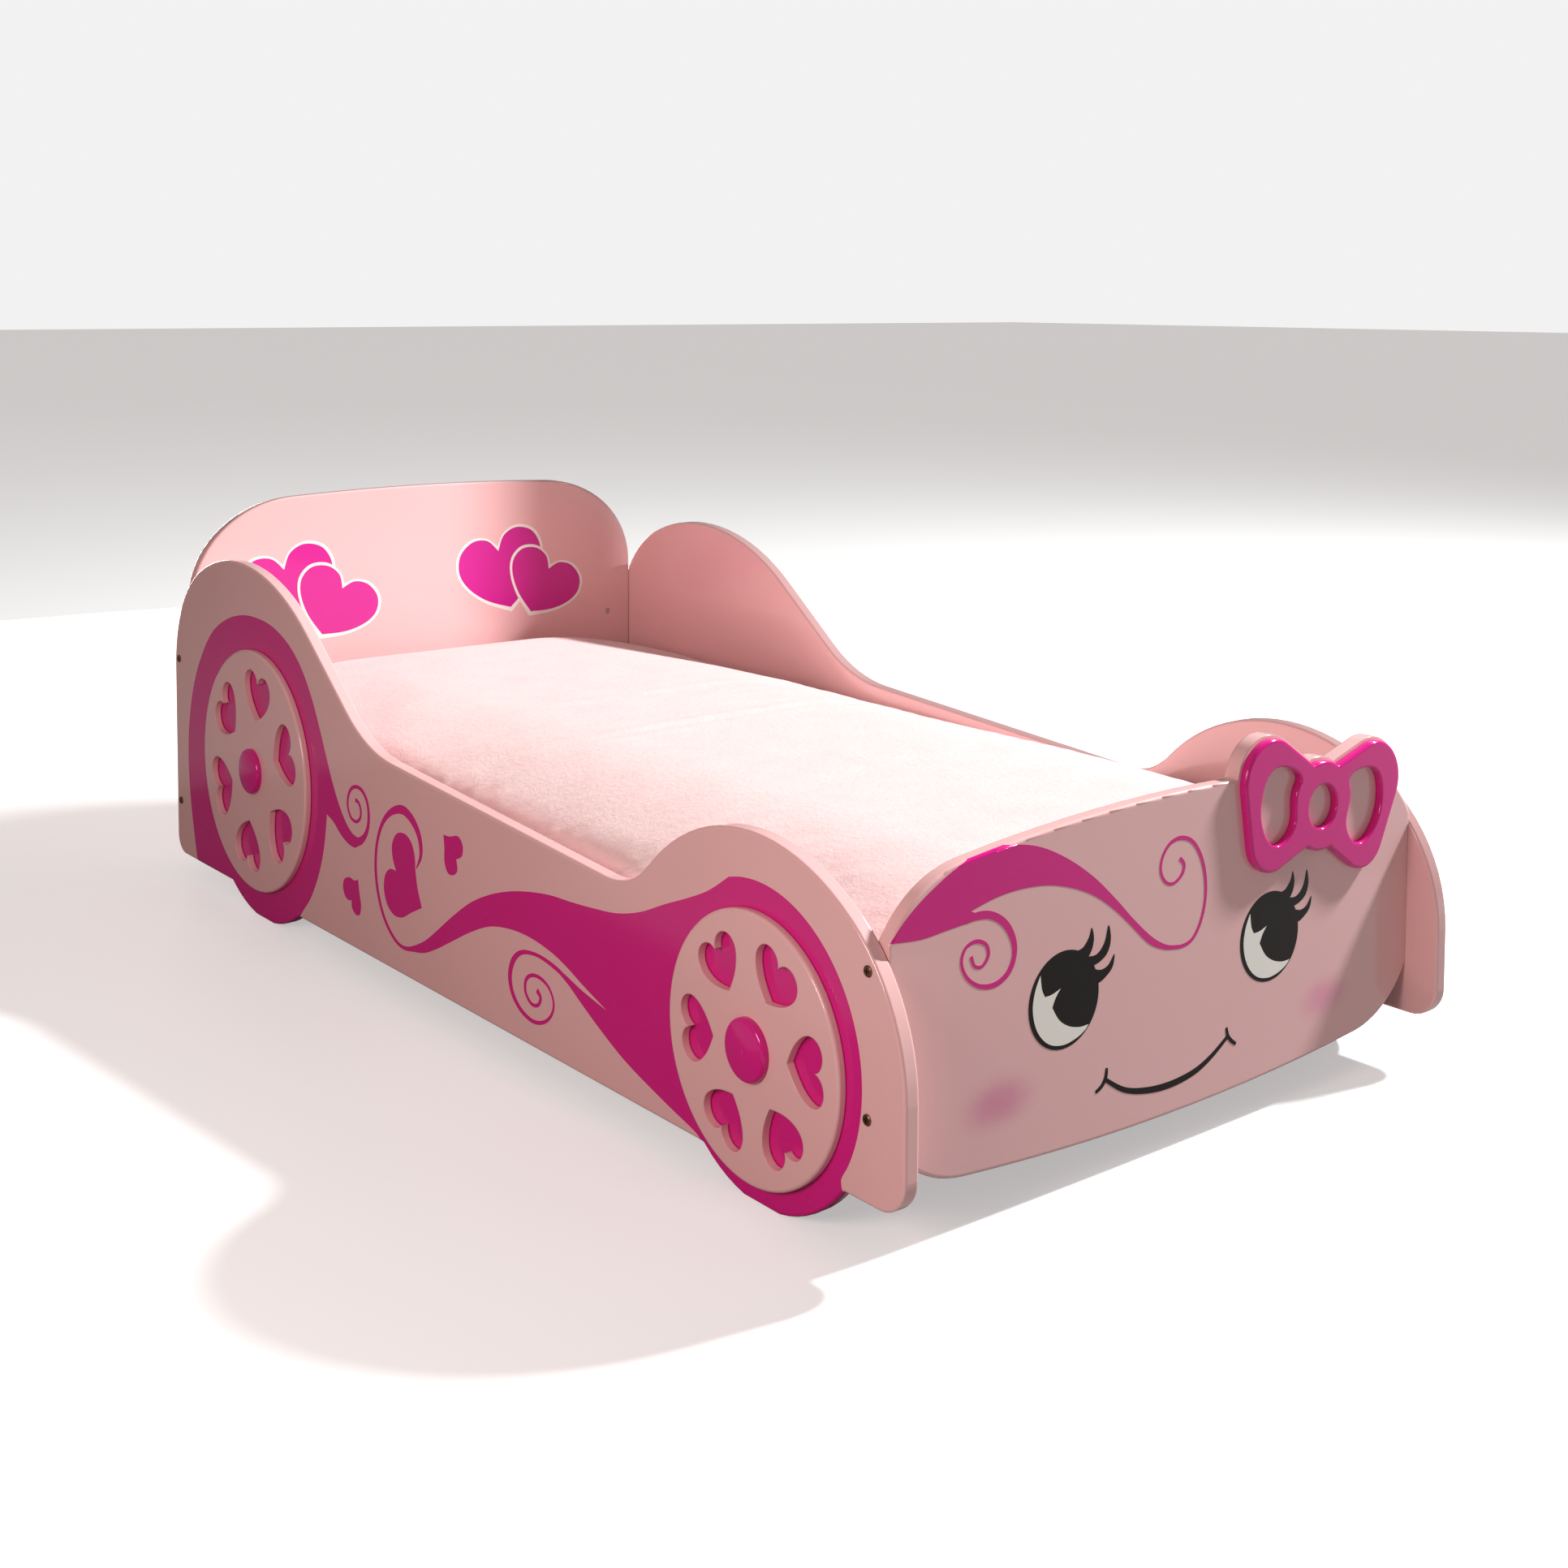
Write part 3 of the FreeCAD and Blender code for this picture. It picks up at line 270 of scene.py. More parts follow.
def print_on(name, board, outlines, turn, surface, thickness, material, depth):
    """Prints outlines on a board: each follows the board's face and rounded edge and stops
    with it. Surface, thickness and depth are in millimetres."""
    skin_mesh = board_skin(board, thickness)
    outward = turn @ OUTWARD
    merged = bmesh.new()
    for outline in outlines:
        skin = bpy.data.objects.new("skin", skin_mesh)
        block = bpy.data.objects.new("block", cut_out(outline, turn, surface, depth))
        for part in (skin, block):
            bpy.context.scene.collection.objects.link(part)
        cut = skin.modifiers.new("print", "BOOLEAN")
        cut.operation = "INTERSECT"
        cut.solver = "EXACT"
        cut.object = block
        bpy.context.view_layer.update()
        evaluated = skin.evaluated_get(bpy.context.evaluated_depsgraph_get())
        merged.from_mesh(bpy.data.meshes.new_from_object(evaluated))
        for part in (skin, block):
            bpy.data.objects.remove(part)
    # the block's floor inside the board is no part of the print
    floor_level = (surface - depth + 0.5) * MM
    inner = [f for f in merged.faces if all(outward.dot(v.co) < floor_level for v in f.verts)]
    bmesh.ops.delete(merged, geom=inner, context="FACES")
    mesh = bpy.data.meshes.new(name)
    merged.to_mesh(mesh)
    merged.free()
    mesh.materials.clear()
    mesh.materials.append(material)
    for face in mesh.polygons:
        face.material_index = 0
        # the flat of the board stays flat; only its rounded edge is shaded round
        face.use_smooth = face.normal.dot(outward) < FLAT_OF_BOARD
    piece = bpy.data.objects.new(name, mesh)
    bpy.context.scene.collection.objects.link(piece)
    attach(piece, "bed_frame")
    return piece


def from_front(points):
    """Points given from the bed's front end become places along the left panel's own face."""
    return [(HALF_BOARD_LENGTH - p[0],) + tuple(p[1:]) for p in points]


front_ring = arc_points((196, 143), 143, 74, 215) + arc_points((196, 143), 150, 218, 306)
WAVE = outline_of(
    from_front(front_ring),
    from_front([front_ring[-1], (281, 31), (334, 45), (394, 62), (434, 78), (474, 97), (499, 110),
                (519, 118)]),
    from_front([(519, 118), (514, 121), (474, 111.5), (431, 104)]),
    from_front([(431, 104), (474, 117.5), (504, 128), (534, 135.5), (574, 140), (614, 138.5),
                (654, 131), (694, 115), (734, 95), (774, 75), (805, 63.5), (849, 57)]),
    from_front([(849, 57), (849, 61)]),
    from_front([(849, 61), (830, 64.5), (799, 78), (774, 94), (734, 122), (694, 147), (654, 165),
                (614, 178), (574, 187), (534, 193), (494, 195.5), (454, 199), (414, 204),
                (374, 215), (334, 232), (294, 248), (264, 262), front_ring[0]]),
)
WAVE_CURL = brush_stroke(from_front([
    (500, 114, 3), (516, 119.5, 5), (540, 124, 4.5), (564, 125, 4), (589, 120.5, 5), (606, 108, 7),
    (613, 90, 7.5), (608, 73, 6.5), (592, 60, 5.5), (569, 54.5, 4.5), (548, 59, 4), (533, 70, 3.5),
    (528, 84, 3.5), (536, 97, 3.5), (552, 103, 4), (569, 102, 4), (581, 94, 4.5), (582, 81, 4.5),
    (571, 72, 4), (558, 74, 4), (553, 83, 5), (560, 89, 6),
]))
LOOP = brush_stroke(from_front([
    (822, 63, 5), (846, 59, 4.2), (868, 64, 4.8), (891, 81, 5.5), (906, 106, 6), (912, 135, 6),
    (908, 165, 5.5), (894, 191, 6), (873, 208, 8), (848, 216, 10.5), (828, 212, 11), (812, 201, 10),
    (804, 187, 8.5), (804, 172, 6), (814, 157, 1.5),
]))
LOOP_HEART = outline_of(
    from_front([(802, 115), (811, 133), (816, 152), (818, 170), (826, 184), (842, 190), (860, 186),
                (871, 172), (870, 156), (862, 143)]),
    from_front([(862, 143), (877, 142), (889, 132), (892, 115), (884, 99), (868, 91), (848, 93),
                (828, 103), (802, 115)]),
)
SMALL_HEART = outline_of(
    from_front([(752, 208), (738, 209), (720, 213), (710, 205), (712, 193), (724, 187)]),
    from_front([(724, 187), (722, 175), (731, 168), (743, 168), (750, 179), (750, 194),
                (752, 208)]),
)
REAR_HEART = outline_of(
    from_front([(957, 111), (967, 108), (979, 109), (992, 104), (996, 94), (991, 84), (981, 81),
                (974, 83)]),
    from_front([(974, 83), (973, 74), (963, 68), (953, 71), (950, 83), (954, 97), (957, 111)]),
)
SWIRL = outline_of(
    from_front([(1037, 172), (1041, 150), (1049, 120), (1064, 88), (1085, 58), (1108, 36),
                (1120, 22)]),
    from_front([(1120, 22), (1120, -6), (1320, -6), (1320, 20), (1431, 20)]),
    from_front([(1431, 20), (1440, 50), (1450, 90), (1457, 130), (1459, 170), (1454, 215),
                (1439, 262), (1413, 305), (1374, 345), (1326, 369), (1276, 381), (1229, 383),
                (1184, 378), (1140, 363), (1104, 339), (1075, 306), (1054, 272), (1038, 243),
                (1022, 215), (1004, 190), (986, 172), (970, 163), (957, 161)]),
    from_front([(957, 161), (957, 150)]),
    from_front([(957, 150), (966, 147), (984, 149), (1002, 156), (1019, 166), (1037, 172)]),
)
SWIRL_CURL = brush_stroke(from_front([
    (975, 154, 10), (956, 156, 10), (941, 164, 8), (931, 177, 6.5), (928, 193, 6),
    (932, 208, 5.5), (943, 218, 5), (957, 220.5, 4.5), (971, 216, 4.5), (980, 205, 4.5),
    (981, 192, 4.5), (973, 181, 4), (960, 179, 4), (950, 185, 4), (948, 195, 4.5),
    (954, 203, 4.5), (962, 204, 5),
]))
left_face = -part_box("side_panel_left")[0][0] / MM
# how far in from the face a print is cut: deeper where it wraps round the board's edge
ON_THE_FLAT, ROUND_THE_EDGE = 3.0, 7.0
far_side_prints = []
for name, outlines, thickness, depth in (
    ("print_wave", [WAVE], 0.20, ROUND_THE_EDGE),
    ("print_swirl", [SWIRL], 0.20, ROUND_THE_EDGE),
    ("print_lines", [WAVE_CURL, LOOP, SWIRL_CURL], 0.26, ON_THE_FLAT),
    ("print_hearts", [LOOP_HEART, SMALL_HEART, REAR_HEART], 0.22, ON_THE_FLAT),
):
    piece = print_on(f"{name}_left", "side_panel_left", outlines, ON_LEFT, left_face, thickness,
                     magenta_lacquer, depth)
    # the far side's print is the same one seen in a mirror
    other = piece.data.copy()
    other.transform(Matrix.Scale(-1, 4, Vector((1, 0, 0))))
    other.flip_normals()
    twin = bpy.data.objects.new(f"{name}_right", other)
    bpy.context.scene.collection.objects.link(twin)
    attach(twin, "bed_frame")
    far_side_prints.append(twin)

# ------------------------------------------------------------------ face panel
# The foot board, lacquered like the sides, with two airbrushed cheeks and a printed face:
# a swoosh with curls, two eyes with lashes and a smile.
face_skin = -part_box("footboard")[0][1]
airbrushed_pink = sprayed_lacquer("airbrushed_pink_lacquer", *PINK, spots=(
    ((-0.232, -face_skin, 0.103), (0.062, 1.0, 0.034), "#D4649A"),
    ((0.218, -face_skin, 0.097), (0.055, 1.0, 0.030), "#E27BA6"),
), eased_edge=0.0025)
put_on(airbrushed_pink, "footboard")
# black and white inks: flat, a little less glossy than the lacquer
black_ink = sprayed_lacquer("black_screen_ink", "#14110F", "#1B1714", gloss=0.22, coat=0.06,
                            shine=0.22)
white_ink = sprayed_lacquer("white_screen_ink", "#F4F1EA", "#EFEBE3", gloss=0.22, coat=0.1)


def from_left(points, shift=0.0):
    """Points given from the left panel's outer face become places about the bed's middle."""
    return [(p[0] - left_face + shift,) + tuple(p[1:]) for p in points]


SWOOSH = outline_of(
    from_left([(17, 267), (30, 281), (45, 293), (65, 305), (90, 317), (120, 325), (150, 326),
               (185, 319), (220, 303), (255, 280), (285, 254), (310, 230), (335, 209), (355, 198),
               (372, 194.5)]),
    from_left([(372, 194.5), (372, 191)]),
    from_left([(372, 191), (352, 194), (330, 204), (305, 226), (285, 243), (262, 259), (235, 272),
               (200, 282), (165, 285), (135, 283), (106, 277)]),
    from_left([(106, 277), (118, 272)]),
    from_left([(118, 272), (105, 268), (80, 266), (50, 264), (17, 267)]),
)
SWOOSH_CURL = brush_stroke(from_left([
    (355, 196, 3), (373, 192.5, 3.5), (390, 196, 3.5), (402, 211, 3.5), (408, 232, 3.5),
    (407, 254, 4), (400, 274, 4), (388, 289, 4), (372, 295, 4), (357, 292, 3.5), (347, 281, 3),
    (345, 268, 3), (352, 257, 3), (363, 254, 3), (374, 260, 3.5), (377, 269, 4), (371, 276, 4),
]))
BROW_CURL = brush_stroke(from_left([
    (100, 269, 4), (113, 271.5, 7), (130, 269, 7), (146, 259, 7), (156, 244, 6.5),
    (158, 229, 5.5), (151, 215, 5.5), (136, 208, 5), (118, 210, 4), (103, 220, 3.2),
    (96, 234, 3), (100, 246, 3), (112, 250, 3.5), (124, 245, 3.5), (127, 235, 3.5),
    (120, 227, 3), (111, 229, 3), (107, 238, 3.5),
]))
EYE_RIM = arc_points((220, 176), 44, 0, 345, 24)
EYE_WHITE = [
    [(190, 204), (184, 192), (181, 177), (184, 161), (192, 148), (204, 139), (220, 135.5),
     (236, 138), (247, 143), (251, 147)],
    [(251, 147), (240, 147), (226, 151), (214, 159), (205, 172)],
    [(205, 172), (209, 180), (215, 187)],
    [(215, 187), (205, 184), (196, 183.5)],
    [(196, 183.5), (192, 191), (190, 204)],
]
LASHES = [
    [(232, 215), (243, 218), (251, 226), (254, 234), (257, 224), (254, 213), (246, 207)],
    [(244, 209), (260, 208), (271, 217), (276, 232), (279, 218), (274, 206), (262, 200),
     (250, 200)],
    [(253, 196), (267, 193), (277, 196), (284, 204), (282, 193), (274, 186), (264, 182),
     (254, 184)],
]
SMILE = [
    brush_stroke(from_left([(274, 91, 4), (300, 75, 5), (330, 67, 6), (362, 64.5, 6.5),
                            (395, 68, 6), (420, 77, 5), (444, 91, 4)])),
    brush_stroke(from_left([(276, 101, 3), (275, 93, 4), (270, 86, 4), (262, 82, 3.4)])),
    brush_stroke(from_left([(442, 100, 3), (444, 92, 4), (449, 86, 4), (456, 81, 3.4)])),
]


def on_face(name, outlines, thickness, material):
    """A print on the front of the face panel."""
    return print_on(name, "footboard", outlines, ON_FRONT, face_skin / MM, thickness, material,
                    ON_THE_FLAT)


on_face("print_swoosh", [SWOOSH], 0.20, magenta_lacquer)
on_face("print_swoosh_lines", [SWOOSH_CURL, BROW_CURL], 0.24, magenta_lacquer)
EYE_SPACING = 284
rims, whites = [], []
for shift in (0, EYE_SPACING):
    rims.append(smooth_line(from_left(EYE_RIM, shift), closed=True, steps=3))
    rims += [smooth_line(from_left(lash, shift), closed=True, steps=4) for lash in LASHES]
    whites.append(outline_of(*[from_left(run, shift) for run in EYE_WHITE]))
# a print that lies over another is the thicker one
EYE_THICKNESSES = (0.20, 0.22, 0.24, 0.26) * 2
for index, (rim, thickness) in enumerate(zip(rims, EYE_THICKNESSES)):
    on_face(f"print_eye_{index + 1}", [rim], thickness, black_ink)
on_face("print_eye_whites", whites, 0.32, white_ink)
for index, line in enumerate(SMILE):
    on_face(f"print_smile_{index + 1}", [line], 0.20 + 0.03 * index, black_ink)

# ------------------------------------------------------------------ headboard
# The head board, lacquered pink, with two overlapping pairs of printed hearts, each heart
# in a white line.
put_on(pink_lacquer, "headboard")
# a cooler magenta than the swirls
heart_ink = sprayed_lacquer("cool_magenta_ink", "#CE1B92", "#C8198E", gloss=0.14)
# half a heart from its cleft to its tip, in shares of its width and height
HEART_HALF = ((0, 0.22), (0.10, 0.36), (0.27, 0.40), (0.44, 0.31), (0.50, 0.13), (0.43, -0.06),
              (0.25, -0.25), (0, -0.40))
MORE_AT_TIP = 1.6


def heart_between(tip, cleft, width, grow=0.0):
    """A heart from its tip to its cleft, grown all round by a margin, and more at those two."""
    rise = (cleft[0] - tip[0], cleft[1] - tip[1])
    reach = math.hypot(*rise)
    up = (rise[0] / reach, rise[1] / reach)
    height = reach / (HEART_HALF[0][1] - HEART_HALF[-1][1])
    start = (tip[0] - up[0] * HEART_HALF[-1][1] * height,
             tip[1] - up[1] * HEART_HALF[-1][1] * height)
    sides = []
    for side in (-1, 1):
        run = []
        for across, along in HEART_HALF:
            a, b = side * across * width, along * height
            stretch = grow / (math.hypot(a, b) or 1.0)
            a, b = a * (1 + stretch), b * (1 + stretch * (MORE_AT_TIP if across == 0 else 1.0))
            run.append((start[0] + up[0] * b + up[1] * a, start[1] + up[1] * b - up[0] * a))
        sides.append(run)
    return outline_of(sides[0], sides[1][::-1])


head_face = -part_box("headboard")[0][1] / MM
# tip, cleft and width
BACK_HEART = ((513, 318), (492, 405), 143)
FRONT_HEART = ((548, 308), (580, 371), 128)
WHITE_LINE = 4.5
for pair, shift in (("right", 0.0), ("left", -343.0)):
    for layer, (tip, cleft, width), grow, material, thickness in (
        ("back_line", BACK_HEART, WHITE_LINE, white_ink, 0.20),
        ("back", BACK_HEART, 0.0, heart_ink, 0.26),
        ("front_line", FRONT_HEART, WHITE_LINE, white_ink, 0.32),
        ("front", FRONT_HEART, 0.0, heart_ink, 0.38),
    ):
        tip_place, cleft_place = from_left([tip, cleft], shift)
        heart = heart_between(tip_place, cleft_place, width, grow)
        print_on(f"print_heart_{pair}_{layer}", "headboard", [heart], ON_FRONT, head_face,
                 thickness, material, ON_THE_FLAT)

# ------------------------------------------------------------------ bow, wheel discs and hub caps
# Thick plates routed from the same board and sprayed: the bow and the domed hub caps magenta,
# the wheel discs pink with hearts cut through.
put_on(magenta_edged, "bow")
for end in ("front", "rear"):
    for side in ("left", "right"):
        put_on(pink_edged, f"wheel_disc_{end}_{side}")
        put_on(magenta_lacquer, f"hub_cap_{end}_{side}")


# ------------------------------------------------------------------ screws, nuts, sleeves
# Bronzed cross-recess bolts join the boards; zinc-plated nuts, screws and hub sleeves sit inside.
def plated_steel(name, colour, roughness):
    """Plated steel straight from the barrel: fine scuffs that break up the shine."""
    material, tree = new_finish(name)
    place = add(tree, "ShaderNodeTexCoord").outputs["Object"]
    scuffs = add(tree, "ShaderNodeTexNoise", {"Vector": place, "Scale": per_mm(1.6), "Detail": 6.0})
    wear = add(tree, "ShaderNodeMapRange", {
        "Value": scuffs.outputs["Fac"], "To Min": roughness * 0.7, "To Max": roughness * 1.4,
    })
    dents = add(tree, "ShaderNodeBump", {
        "Height": scuffs.outputs["Fac"], "Strength": 0.2, "Distance": 0.0001,
    })
    skin = add(tree, "ShaderNodeBsdfPrincipled", {
        "Base Color": linear(colour), "Metallic": 1.0, "Roughness": wear.outputs["Result"],
        "Normal": dents.outputs["Normal"],
    })
    add(tree, "ShaderNodeOutputMaterial", {"Surface": skin.outputs["BSDF"]})
    return material


put_on(plated_steel("bronzed_steel", "#8A6A55", 0.32), "corner_bolts")
put_on(plated_steel("zinc_plated_steel", "#C9CBCC", 0.36), "barrel_nuts", "rail_screws",
       "bow_screws", "axle_sleeves", "hub_screws")


def moulded_nylon(name, colour):
    """Moulded nylon, for the washers behind the discs: milky and slightly waxy."""
    material, tree = new_finish(name)
    place = add(tree, "ShaderNodeTexCoord").outputs["Object"]
    grain = add(tree, "ShaderNodeTexNoise", {"Vector": place, "Scale": per_mm(0.9), "Detail": 2.0})
    tooth = add(tree, "ShaderNodeBump", {
        "Height": grain.outputs["Fac"], "Strength": 0.15, "Distance": 0.0001,
    })
    skin = add(tree, "ShaderNodeBsdfPrincipled", {
        "Base Color": linear(colour), "Roughness": 0.5, "IOR": 1.53, "Subsurface Weight": 0.1,
        "Subsurface Radius": (0.002, 0.002, 0.002), "Subsurface Scale": 0.5,
        "Normal": tooth.outputs["Normal"],
    })
    add(tree, "ShaderNodeOutputMaterial", {"Surface": skin.outputs["BSDF"]})
    return material


put_on(moulded_nylon("moulded_nylon", "#E9E7E2"), "wheel_spacers")


# ------------------------------------------------------------------ rails, slats, dowels and tapes
# Planed softwood, unfinished: pale, with straight growth lines along each piece and small
# flecks. The tapes under the slats are woven polypropylene.
def planed_pine(name, along, light, dark):
    """Planed pine: the growth lines run along the piece, a few millimetres apart."""
    material, tree = new_finish(name)
    place = add(tree, "ShaderNodeTexCoord").outputs["Object"]
    # a ring runs on for many times its own width
    stretch = [1.0, 1.0, 1.0]
    stretch[along] = 0.06
    lengthwise = add(tree, "ShaderNodeVectorMath", {0: place, 1: stretch}, operation="MULTIPLY")
    rings = add(tree, "ShaderNodeTexNoise", {
        "Vector": lengthwise.outputs["Vector"], "Scale": per_mm(9), "Detail": 5.0,
        "Distortion": 0.6,
    })
    pores = add(tree, "ShaderNodeTexNoise", {
        "Vector": lengthwise.outputs["Vector"], "Scale": per_mm(1.5), "Detail": 3.0,
    })
    bands = add(tree, "ShaderNodeMapRange", {
        "Value": rings.outputs["Fac"], "From Min": 0.38, "From Max": 0.66,
    })
    wood = add(tree, "ShaderNodeMix", {
        "Factor": bands.outputs["Result"], "A": linear(light), "B": linear(dark),
    }, data_type="RGBA")
    relief = add(tree, "ShaderNodeBump", {
        "Height": pores.outputs["Fac"], "Strength": 0.25, "Distance": 0.0003,
    })
    skin = add(tree, "ShaderNodeBsdfPrincipled", {
        "Base Color": wood.outputs["Result"], "Roughness": 0.62, "IOR": 1.5,
        "Normal": relief.outputs["Normal"],
    })
    add(tree, "ShaderNodeOutputMaterial", {"Surface": skin.outputs["BSDF"]})
    return material


ACROSS, ALONG = 0, 1
across_pine = planed_pine("planed_pine_across", ACROSS, "#E9D2A8", "#CFAA74")
along_pine = planed_pine("planed_pine_along", ALONG, "#E6CDA2", "#C9A26C")
slats = [n for n in shown_nodes if n.startswith("slat_") and "tape" not in n]
put_on(across_pine, "corner_dowels", *slats)
put_on(along_pine, "bearer_rail_left", "bearer_rail_right")


def coarse_threads(thread_mm):
    """Wave scale for threads that are really this far apart. They are too fine to show, so
    the bands are drawn about six times as far apart as the threads."""
    return per_mm(thread_mm) / 20


def woven_tape(name, colour, thread_mm):
    """Plain woven tape: a grid of crossing yarns, greyer where the weave sinks between them:
    painted shade in its hollows.
    """
    material, tree = new_finish(name)
    place = add(tree, "ShaderNodeTexCoord").outputs["Object"]
    waves = [
        add(tree, "ShaderNodeTexWave", {"Vector": place, "Scale": coarse_threads(thread_mm)},
            bands_direction=direction)
        for direction in ("X", "Y")
    ]
    yarns = add(tree, "ShaderNodeMath", {0: waves[0].outputs["Fac"], 1: waves[1].outputs["Fac"]},
                operation="MULTIPLY")
    relief = add(tree, "ShaderNodeBump", {
        "Height": yarns.outputs["Value"], "Strength": 0.6, "Distance": 0.0004,
    })
    # the colour goes grey where the yarn height is low: painted shade in the hollows of the weave
    tone = add(tree, "ShaderNodeMapRange", {
        "Value": yarns.outputs["Value"], "To Min": 0.75, "To Max": 1.0,
    })
    cloth = add(tree, "ShaderNodeMix", {
        "Factor": tone.outputs["Result"], "A": linear("#B9B4AA"), "B": linear(colour),
    }, data_type="RGBA")
    skin = add(tree, "ShaderNodeBsdfPrincipled", {
        "Base Color": cloth.outputs["Result"], "Roughness": 0.8, "Sheen Weight": 0.2,
        "Normal": relief.outputs["Normal"],
    })
    add(tree, "ShaderNodeOutputMaterial", {"Surface": skin.outputs["BSDF"]})
    return material


put_on(woven_tape("woven_tape", "#EFECE4", 1.2), "slat_tape_left", "slat_tape_right")


# ------------------------------------------------------------------ mattress core
# A block of foam in a thin knitted cotton cover. Only its underside shows, between the slats.
def soft_block(low, high, rounding, pitch):
    """A block of even small faces with all edges rounded, for cloth and for covers."""
    shape = bmesh.new()
    size = [high[i] - low[i] for i in range(3)]
    counts = [max(4, round(s / pitch)) for s in size]
    for axis in range(3):
        u, v = [i for i in range(3) if i != axis]
        for end in (low[axis], high[axis]):
            grid = []
            for i in range(counts[u] + 1):
                row = []
                for j in range(counts[v] + 1):
                    place = [0.0, 0.0, 0.0]
                    place[axis] = end
                    place[u] = low[u] + size[u] * i / counts[u]
                    place[v] = low[v] + size[v] * j / counts[v]
                    row.append(shape.verts.new(place))
                grid.append(row)
            for i in range(counts[u]):
                for j in range(counts[v]):
                    near, far = grid[i], grid[i + 1]
                    shape.faces.new((near[j], far[j], far[j + 1], near[j + 1]))
    bmesh.ops.remove_doubles(shape, verts=shape.verts, dist=pitch * 0.05)
    for vertex in shape.verts:
        core = Vector([
            min(max(vertex.co[i], low[i] + rounding), high[i] - rounding) for i in range(3)
        ])
        away = vertex.co - core
        if away.length > 1e-9:
            vertex.co = core + away.normalized() * rounding
    bmesh.ops.recalc_face_normals(shape, faces=shape.faces)
    return shape


def crown_down(shape, low, high, amount):
    """Lets the top sink towards the long sides and the ends, as worn foam under a loose cover
    does. The sides sink from 0.42 of the way out, the ends only over the last 0.15."""
    middle = [(low[i] + high[i]) / 2 for i in range(3)]
    for vertex in shape.verts:
        x, y, z = vertex.co
        side = abs(x - middle[0]) / (high[0] - middle[0])
        end = abs(y - middle[1]) / (high[1] - middle[1])
        side_slump = max(0.0, (side - 0.42) / 0.58) ** 1.8
        end_slump = 0.4 * max(0.0, (end - 0.85) / 0.15) ** 2
        uneven = 1 + 0.35 * noise.noise(Vector((x * 1.5, y * 3.0, 2.3)))
        height = max(0.0, (z - low[2]) / (high[2] - low[2]))
        vertex.co.z -= amount * min(side_slump + end_slump, 1.3) * uneven * height


def as_piece(name, shape, material):
    """A smooth-shaded piece of this shape and finish."""
    mesh = bpy.data.meshes.new(name)
    shape.to_mesh(mesh)
    shape.free()
    mesh.materials.append(material)
    for face in mesh.polygons:
        face.use_smooth = True
    piece = bpy.data.objects.new(name, mesh)
    bpy.context.scene.collection.objects.link(piece)
    return piece


def knitted_cotton(name, colour):
    """Fine interlock knit: soft and matt, with columns of loops."""
    material, tree = new_finish(name)
    place = add(tree, "ShaderNodeTexCoord").outputs["Object"]
    columns = add(tree, "ShaderNodeTexWave", {
        "Vector": place, "Scale": coarse_threads(1.5), "Distortion": 2.0,
    })
    fuzz = add(tree, "ShaderNodeTexNoise", {"Vector": place, "Scale": per_mm(2.0), "Detail": 4.0})
    height = add(tree, "ShaderNodeMath", {0: columns.outputs["Fac"], 1: fuzz.outputs["Fac"]})
    relief = add(tree, "ShaderNodeBump", {
        "Height": height.outputs["Value"], "Strength": 0.5, "Distance": 0.0006,
    })
    skin = add(tree, "ShaderNodeBsdfPrincipled", {
        "Base Color": linear(colour), "Roughness": 0.9, "Sheen Weight": 0.3,
        "Normal": relief.outputs["Normal"],
    })
    add(tree, "ShaderNodeOutputMaterial", {"Surface": skin.outputs["BSDF"]})
    return material


core_low, core_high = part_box("mattress")
# the foam stops this far short of the mattress's full size at the sides, the ends and the top
COVER_GAP = 0.004
foam_low = (core_low[0] + COVER_GAP, core_low[1] + COVER_GAP, core_low[2])
foam_high = (core_high[0] - COVER_GAP, core_high[1] - COVER_GAP, core_high[2] - COVER_GAP)
# how deep the top sinks at the long sides, and the radius of the block's edges
SLUMP = 0.044
FOAM_ROUNDING = 0.044
core_shape = soft_block(foam_low, foam_high, FOAM_ROUNDING, pitch=0.012)
crown_down(core_shape, foam_low, foam_high, SLUMP)
foam_core = as_piece("foam_core", core_shape, knitted_cotton("interlock_knit", "#F1EDE4"))
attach(foam_core, "mattress_set")
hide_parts("mattress")


